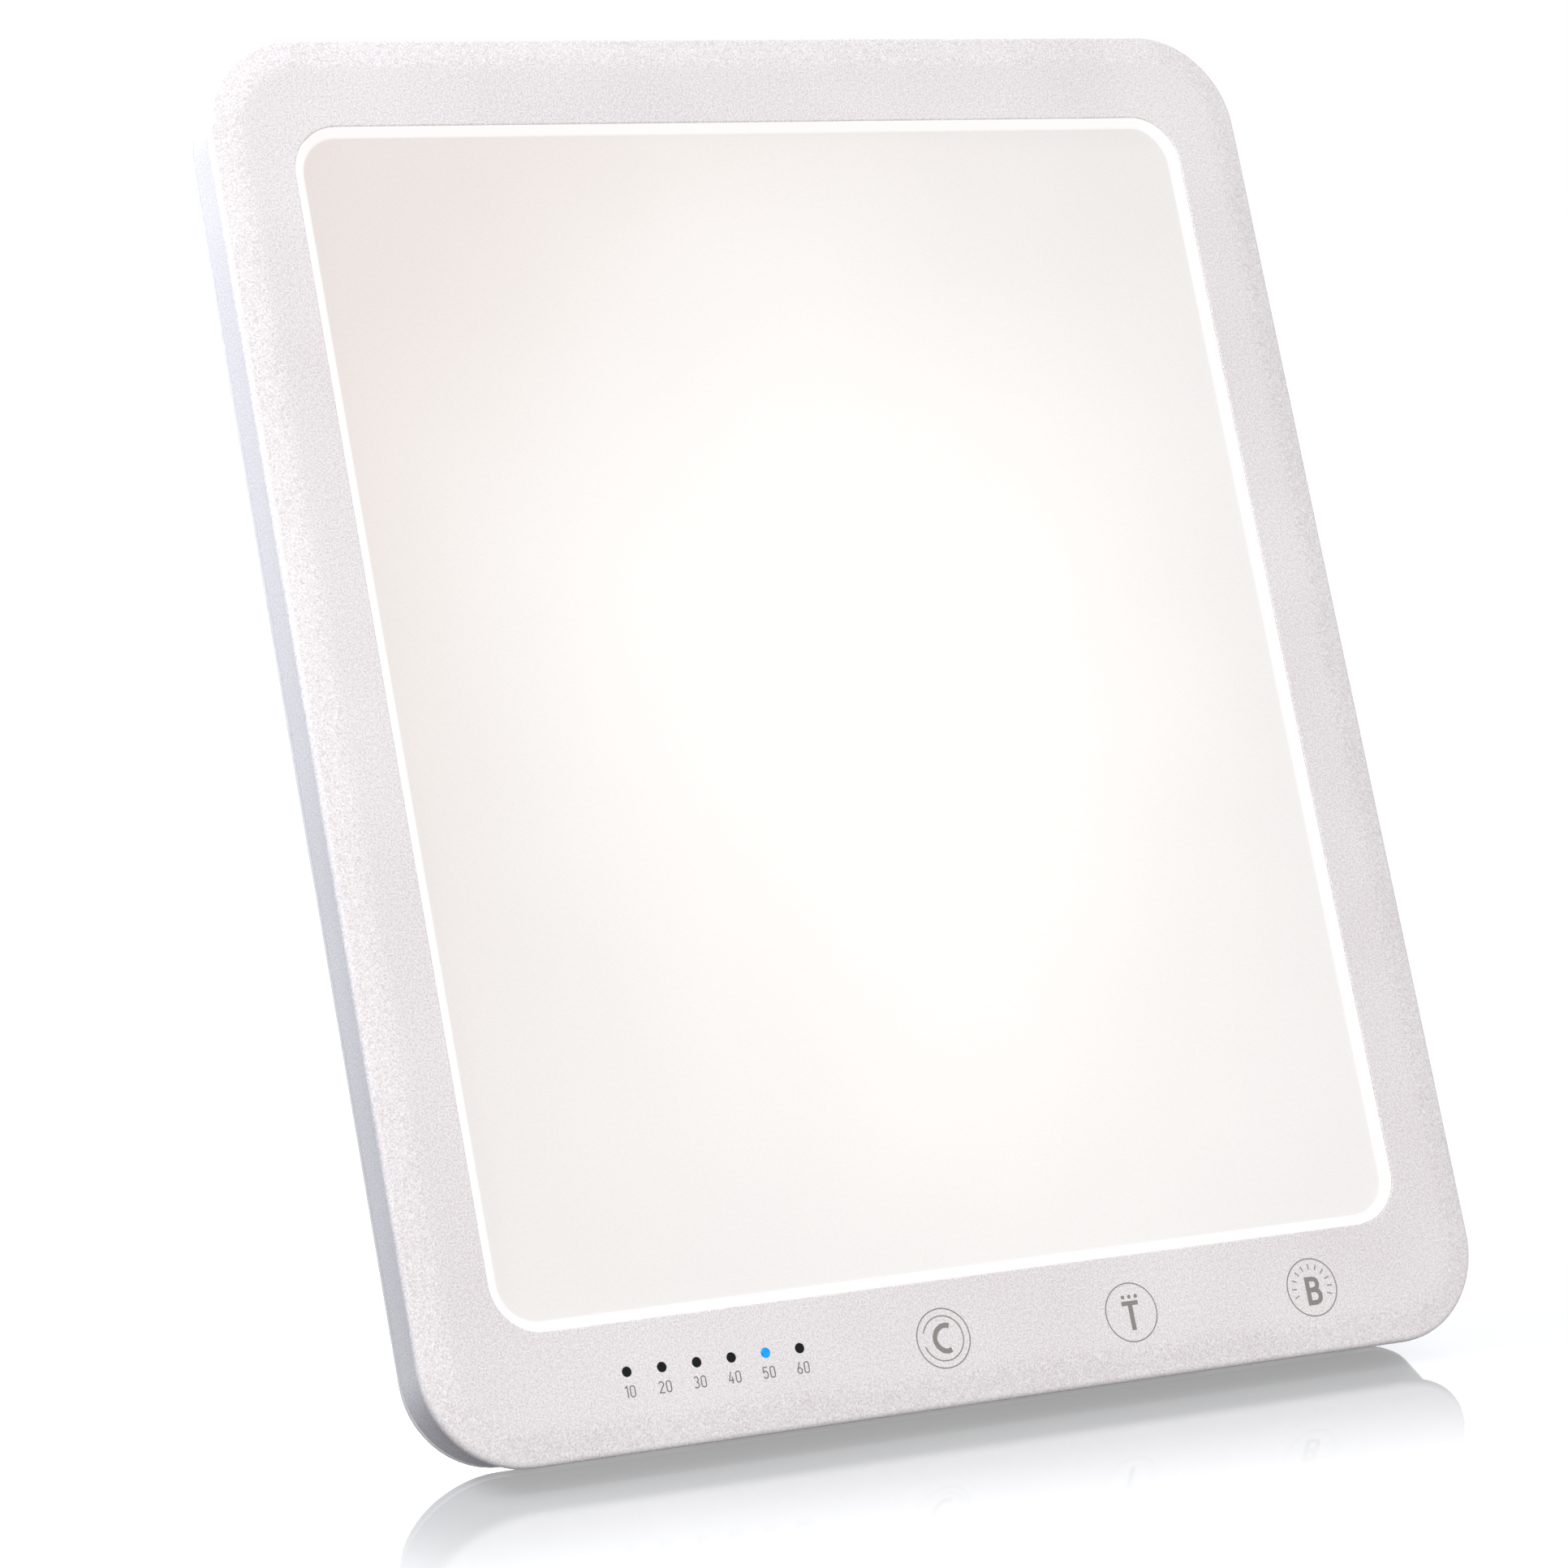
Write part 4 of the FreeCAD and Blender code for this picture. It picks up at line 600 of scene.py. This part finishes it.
# Printed marks of the three touch keys: thin ink standing just proud of the face.
keys = {"places": (-7.2, 28.8, 64.8), "level": -107.85, "ringRadius": 4.9, "line": 0.2, "ink": 0.03,
        "sunk": 0.03, "layer": 0.004, "stroke": 0.84, "bar": 0.74, "upperBowl": 0.78, "lowerBowl": 0.8,
        "innerRing": 3.7, "gapStart": 161, "gapEnd": 196}
rays = {"Count": 11, "Start": math.radians(-22.5), "Step": math.radians(22.5), "Inner Radius": 3.05 * mm,
        "Length": 0.97 * mm, "Width": 0.19 * mm, "Thickness": 0.06 * mm}
dots = {"Count": 3, "Pitch": 1.25 * mm, "Radius": 0.33 * mm, "Thickness": 0.06 * mm}


def rayTree(finish):
    tree, source, target = startTree("brightnessRays", rays)
    size = source.outputs
    extent = node(tree, "ShaderNodeCombineXYZ",
                  {"X": size["Length"], "Y": size["Thickness"], "Z": size["Width"]})
    bar = node(tree, "GeometryNodeMeshCube", {"Size": extent.outputs[0]})
    middle = calc(tree, "ADD", size["Inner Radius"], calc(tree, "MULTIPLY", size["Length"], 0.5))
    placed = shifted(tree, bar.outputs["Mesh"], X=middle)
    line = node(tree, "GeometryNodeMeshLine", {"Count": size["Count"], "Offset": (0, 0, 0)})
    turn = calc(tree, "MULTIPLY", node(tree, "GeometryNodeInputIndex").outputs[0], size["Step"])
    turn = calc(tree, "MULTIPLY", calc(tree, "ADD", turn, size["Start"]), -1)
    rotation = node(tree, "ShaderNodeCombineXYZ", {"Y": turn})
    fan = node(tree, "GeometryNodeInstanceOnPoints", {"Points": line.outputs["Mesh"],
                                                      "Instance": placed,
                                                      "Rotation": rotation.outputs[0]})
    copies = node(tree, "GeometryNodeInstanceOnPoints",
                  {"Points": source.outputs["Geometry"], "Instance": fan.outputs["Instances"]})
    finishTree(tree, copies.outputs["Instances"], target, finish)
    return tree


def dotTree(finish):
    tree, source, target = startTree("timerDots", dots)
    size = source.outputs
    dot = node(tree, "GeometryNodeMeshCylinder",
               {"Vertices": 28, "Radius": size["Radius"], "Depth": size["Thickness"]})
    offset = node(tree, "ShaderNodeCombineXYZ", {"X": size["Pitch"]})
    line = node(tree, "GeometryNodeMeshLine", {"Count": size["Count"], "Offset": offset.outputs[0]})
    row = node(tree, "GeometryNodeInstanceOnPoints",
               {"Points": line.outputs["Mesh"], "Instance": turned(tree, dot.outputs["Mesh"], 1)})
    copies = node(tree, "GeometryNodeInstanceOnPoints",
                  {"Points": source.outputs["Geometry"], "Instance": row.outputs["Instances"]})
    finishTree(tree, copies.outputs["Instances"], target, finish)
    return tree


def softened(points, closed=False, steps=6):  # a smooth curve through the points
    count = len(points)
    result = []
    for index in range(count if closed else count - 1):
        pick = [points[(index + shift) % count] if closed else points[min(max(index + shift, 0), count - 1)]
                for shift in (-1, 0, 1, 2)]
        for step in range(steps):
            t = step / steps
            result.append(tuple(0.5 * (2 * b + (c - a) * t + (2 * a - 5 * b + 4 * c - d) * t * t
                                       + (3 * b - a - 3 * c + d) * t ** 3) for a, b, c, d in zip(*pick)))
    if not closed:
        result.append(points[-1])
    return result


def arc(radius, start, end, steps=72):
    angles = [math.radians(start + (end - start) * step / steps) for step in range(steps + 1)]
    return [(radius * math.cos(angle), radius * math.sin(angle)) for angle in angles]


def addStroke(mesh, centre, path, width, closed, lift):  # a ribbon of ink with square ends
    count = len(path)
    sides = []
    for index, (x, z) in enumerate(path):
        before = path[index - 1] if closed or index else path[0]
        after = path[(index + 1) % count] if closed or index < count - 1 else path[-1]
        alongX, alongZ = after[0] - before[0], after[1] - before[1]
        length = math.hypot(alongX, alongZ)
        offX, offZ = -alongZ / length * width / 2, alongX / length * width / 2
        corners = [(x + offX, -lift, z + offZ), (x - offX, -lift, z - offZ),
                   (x - offX, keys["sunk"], z - offZ), (x + offX, keys["sunk"], z + offZ)]
        sides.append([mesh.verts.new((Vector(corner) + centre) * mm) for corner in corners])
    pairs = list(zip(sides, sides[1:])) + ([(sides[-1], sides[0])] if closed else [])
    for first, second in pairs:
        for index in range(4):
            after = (index + 1) % 4
            mesh.faces.new((first[index], first[after], second[after], second[index]))
    if not closed:
        mesh.faces.new(sides[0])
        mesh.faces.new(sides[-1])


letterC = softened([(1.38, 1.93), (0.65, 2.08), (-0.35, 1.86), (-1.2, 1.12), (-1.58, 0.0), (-1.22, -1.16),
                    (-0.4, -1.92), (0.45, -2.16), (1.2, -1.96)])
upperBowl = [(-1.2, 1.42)] + softened([(0.2, 1.42), (0.86, 1.2), (1.13, 0.5), (0.84, -0.16), (0.2, -0.42)])
upperBowl.append((-1.2, -0.42))
lowerBowl = [(-1.2, -0.46)] + softened([(0.4, -0.46), (1.1, -0.76), (1.4, -1.52), (1.1, -2.32), (0.4, -2.62)])
lowerBowl.append((-1.2, -2.62))


def keyMarks():
    mesh = bmesh.new()
    ink, layer, stroke, line = keys["ink"], keys["layer"], keys["stroke"], keys["line"]
    colour, timer, brightness = [Vector((x, 0, keys["level"])) for x in keys["places"]]
    for centre in (colour, timer, brightness):
        addStroke(mesh, centre, arc(keys["ringRadius"], 0, 360)[:-1], line, True, ink)
    addStroke(mesh, colour, arc(keys["innerRing"], keys["gapEnd"] - 360, keys["gapStart"]), line, False, ink)
    addStroke(mesh, colour, letterC, stroke, False, ink)
    addStroke(mesh, timer, [(-1.58, 1.53), (1.58, 1.53)], keys["bar"], False, ink)
    addStroke(mesh, timer, [(0, 1.3), (0, -3.0)], stroke, False, ink + layer)
    addStroke(mesh, brightness, [(-0.84, 1.83), (-0.84, -3.03)], stroke, False, ink + 2 * layer)
    addStroke(mesh, brightness, upperBowl, keys["upperBowl"], False, ink + layer)
    addStroke(mesh, brightness, lowerBowl, keys["lowerBowl"], False, ink)
    bmesh.ops.recalc_face_normals(mesh, faces=mesh.faces)
    data = bpy.data.meshes.new("keyMarks")
    mesh.to_mesh(data)
    mesh.free()
    return data


addPiece("keyMarks", keyMarks(), keyInk)
rayCentre = (keys["places"][2], 0, keys["level"])
rayData = runTree(rayTree(keyInk), rays, [rayCentre], "brightnessRays")
addPiece("brightnessRays", rayData, keyInk)
dotStart = (keys["places"][1] - 1.15, 0, keys["level"] + 2.62)
addPiece("timerDots", runTree(dotTree(keyInk), dots, [dotStart], "timerDots"), keyInk)
print("key marks made")

# Minutes under the indicator lenses: thin strokes, each digit given as its width and its lines.
minutes = {"texts": ("10", "20", "30", "40", "50", "60"), "level": -109.42, "stroke": 0.19, "gap": 0.3}


def oval(wide, tall, level, start, end):
    return [(x * wide, z * tall + level) for x, z in arc(1, start, end, 28)]


digits = {
    "0": (0.98, oval(0.395, 0.395, 0.48, 0, 180) + oval(0.395, 0.395, -0.48, 180, 360)),
    "1": (0.62, [(-0.2, 0.6), (0.2, 0.9)], [(0.21, 0.97), (0.21, -0.97)]),
    "2": (1.0, oval(0.395, 0.41, 0.465, 165, -25) + [(-0.38, -0.81)], [(-0.49, -0.875), (0.49, -0.875)]),
    "3": (0.98, oval(0.36, 0.43, 0.445, 155, -90), oval(0.395, 0.445, -0.43, 90, -155)),
    "4": (1.0, [(0.08, 0.97), (-0.4, -0.42)], [(-0.49, -0.45), (0.49, -0.45)], [(0.2, 0.1), (0.2, -0.97)]),
    "5": (0.98, [(0.4, 0.875), (-0.4, 0.875)], [(-0.33, 0.95), (-0.37, 0.02)],
          oval(0.395, 0.56, -0.315, 150, -150)),
    "6": (0.98, oval(0.395, 0.46, -0.415, 0, 360)[:-1], [(0.12, 0.97), (-0.37, -0.22)]),
}


def minuteMarks():
    mesh = bmesh.new()
    for index, text in enumerate(minutes["texts"]):
        total = sum(digits[digit][0] for digit in text) + minutes["gap"]
        across = shell["lensFirst"] + index * shell["lensPitch"] - total / 2
        for digit in text:
            width, *lines = digits[digit]
            centre = Vector((across + width / 2, 0, minutes["level"]))
            for number, line in enumerate(lines):
                ring = number == 0 and digit in "06"  # their first line is closed
                addStroke(mesh, centre, line, minutes["stroke"], ring, keys["ink"] + number * keys["layer"])
            across += width + minutes["gap"]
    bmesh.ops.recalc_face_normals(mesh, faces=mesh.faces)
    data = bpy.data.meshes.new("minuteMarks")
    mesh.to_mesh(data)
    mesh.free()
    return data


addPiece("minuteMarks", minuteMarks(), digitInk)
print("minute marks made")

# Camera and light, at the photograph's viewing angle.
shot = {"lens": 118.9, "turn": 28.27, "fall": 8.46, "distance": 868.2, "aside": 12.31, "above": 16.54}


def addCamera():
    turn, fall = math.radians(shot["turn"]), math.radians(shot["fall"])
    forward = Vector((math.sin(turn) * math.cos(fall), math.cos(turn) * math.cos(fall), -math.sin(fall)))
    right = Vector((math.cos(turn), -math.sin(turn), 0))
    up = right.cross(forward)
    target = panelPlace @ (Vector((0, 0, panel["windowRise"])) * mm)
    camera = bpy.data.objects.new("camera", bpy.data.cameras.new("camera"))
    bpy.context.scene.collection.objects.link(camera)
    camera.data.lens = shot["lens"]
    camera.data.sensor_width = 36
    camera.data.clip_start = 0.05
    camera.location = target - (forward * shot["distance"] + right * shot["aside"] + up * shot["above"]) * mm
    camera.rotation_mode = "QUATERNION"
    camera.rotation_quaternion = Matrix((right, up, -forward)).transposed().to_quaternion()
    bpy.context.scene.camera = camera


lighting = {"world": (0.93, 0.96, 1.0), "worldStrength": 0.50, "horizonGlow": 1.85, "horizonTop": 0.35,
            "horizonFade": 0.12, "aim": (0, 0, 0.1),
            "key": {"place": (-0.90, -4.52, 1.08), "size": 2.7, "power": 151, "colour": (1.0, 0.975, 0.965)},
            "fill": {"place": (-0.36, 0.11, 0.43), "size": 0.25, "power": 1.8, "colour": (0.93, 0.965, 1.0)},
            "back": {"place": (0.6, 1.6, 0.7), "size": 1.0, "power": 12, "colour": (1.0, 0.99, 0.98)}}


def seenRays(tree):  # the light path and 1 for the rays that show the backdrop and table to the eye
    path = tree.nodes.new("ShaderNodeLightPath")
    seen = calc(tree, "MAXIMUM", path.outputs["Is Camera Ray"], path.outputs["Is Glossy Ray"])
    return path, calc(tree, "MAXIMUM", seen, path.outputs["Is Transmission Ray"])


def addLights():
    world = bpy.data.worlds.new("studio")
    bpy.context.scene.world = world
    world.use_nodes = True
    tree = world.node_tree
    background = tree.nodes["Background"]
    background.inputs["Color"].default_value = (*lighting["world"], 1)
    background.inputs["Strength"].default_value = lighting["worldStrength"]
    white = tree.nodes.new("ShaderNodeBackground")
    white.inputs["Color"].default_value = (1, 1, 1, 1)
    path, seen = seenRays(tree)
    # the backdrop that the table mirrors is brighter near the horizon
    direction = tree.nodes.new("ShaderNodeSeparateXYZ")
    tree.links.new(tree.nodes.new("ShaderNodeTexCoord").outputs["Generated"], direction.inputs[0])
    top = lighting["horizonTop"]
    band = spread(tree, direction.outputs["Z"], top, top + lighting["horizonFade"],
                  lighting["horizonGlow"] - 1, 0, True)
    extra = calc(tree, "MULTIPLY", band, path.outputs["Is Glossy Ray"])
    tree.links.new(calc(tree, "ADD", extra, 1.0), white.inputs["Strength"])
    mix = tree.nodes.new("ShaderNodeMixShader")
    tree.links.new(seen, mix.inputs[0])
    tree.links.new(background.outputs[0], mix.inputs[1])
    tree.links.new(white.outputs[0], mix.inputs[2])
    tree.links.new(mix.outputs[0], tree.nodes["World Output"].inputs["Surface"])
    for name in ("key", "fill", "back"):
        values = lighting[name]
        lamp = bpy.data.lights.new(name, "AREA")
        lamp.energy = values["power"]
        lamp.color = values["colour"]
        lamp.size = values["size"]
        light = bpy.data.objects.new(name, lamp)
        bpy.context.scene.collection.objects.link(light)
        light.location = values["place"]
        aim = Vector(lighting["aim"]) - light.location
        light.rotation_mode = "QUATERNION"
        light.rotation_quaternion = aim.to_track_quat("-Z", "Y")


# White table: dim for the light it throws back, white with shadow and a fading mirror image to the eye.
table = {"half": 4.0, "albedo": 0.5, "lift": 0.655, "bounce": (0.07, 0.075, 0.085),
         "mirror": (0.53, 0.545, 0.57), "polish": 0.04, "mirrorStart": -0.052, "mirrorEnd": -0.125,
         "mirrorMost": 0.6, "grazeStart": 0.5, "grazeEnd": 0.8, "farStart": 0.15, "farEnd": 0.9}


def addFloor():
    half = table["half"]
    data = bpy.data.meshes.new("floor")
    corners = [(-half, -half, 0), (half, -half, 0), (half, half, 0), (-half, half, 0)]
    data.from_pydata(corners, [], [(0, 1, 2, 3)])
    floor = bpy.data.objects.new("floor", data)
    bpy.context.scene.collection.objects.link(floor)
    material, tree, bounce = startFinish("whiteTable", 0.9, Specular_IOR_Level=0.0)
    place = tree.nodes.new("ShaderNodeTexCoord")
    split = tree.nodes.new("ShaderNodeSeparateXYZ")
    tree.links.new(place.outputs["Object"], split.inputs[0])
    bounce.inputs["Base Color"].default_value = (*table["bounce"], 1)
    surface = tree.nodes.new("ShaderNodeBsdfDiffuse")
    surface.inputs["Color"].default_value = (table["albedo"],) * 3 + (1,)
    lift = tree.nodes.new("ShaderNodeEmission")
    # the table turns plain white far behind the lamp
    whiter = spread(tree, split.outputs["Y"], table["farStart"], table["farEnd"], table["lift"], 1, True)
    tree.links.new(whiter, lift.inputs["Strength"])
    white = tree.nodes.new("ShaderNodeAddShader")
    tree.links.new(surface.outputs[0], white.inputs[0])
    tree.links.new(lift.outputs[0], white.inputs[1])
    mirror = tree.nodes.new("ShaderNodeBsdfGlossy")
    mirror.inputs["Roughness"].default_value = table["polish"]
    mirror.inputs["Color"].default_value = (*table["mirror"], 1)
    fade = spread(tree, split.outputs["Y"], table["mirrorEnd"], table["mirrorStart"], 0,
                  table["mirrorMost"], True)
    graze = tree.nodes.new("ShaderNodeLayerWeight")
    graze.inputs["Blend"].default_value = 0.5
    shallow = spread(tree, graze.outputs["Facing"], table["grazeStart"], table["grazeEnd"], 0, 1, True)
    fade = calc(tree, "MULTIPLY", fade, shallow)
    eye = tree.nodes.new("ShaderNodeMixShader")
    tree.links.new(fade, eye.inputs[0])
    tree.links.new(white.outputs[0], eye.inputs[1])
    tree.links.new(mirror.outputs[0], eye.inputs[2])
    mix = tree.nodes.new("ShaderNodeMixShader")
    tree.links.new(seenRays(tree)[1], mix.inputs[0])
    tree.links.new(bounce.outputs[0], mix.inputs[1])
    tree.links.new(eye.outputs[0], mix.inputs[2])
    tree.links.new(mix.outputs[0], tree.nodes["Material Output"].inputs["Surface"])
    data.materials.append(material)


addCamera()
addLights()
addFloor()
print("camera, lights and floor placed")

view = bpy.context.scene.view_settings
view.view_transform = "Standard"
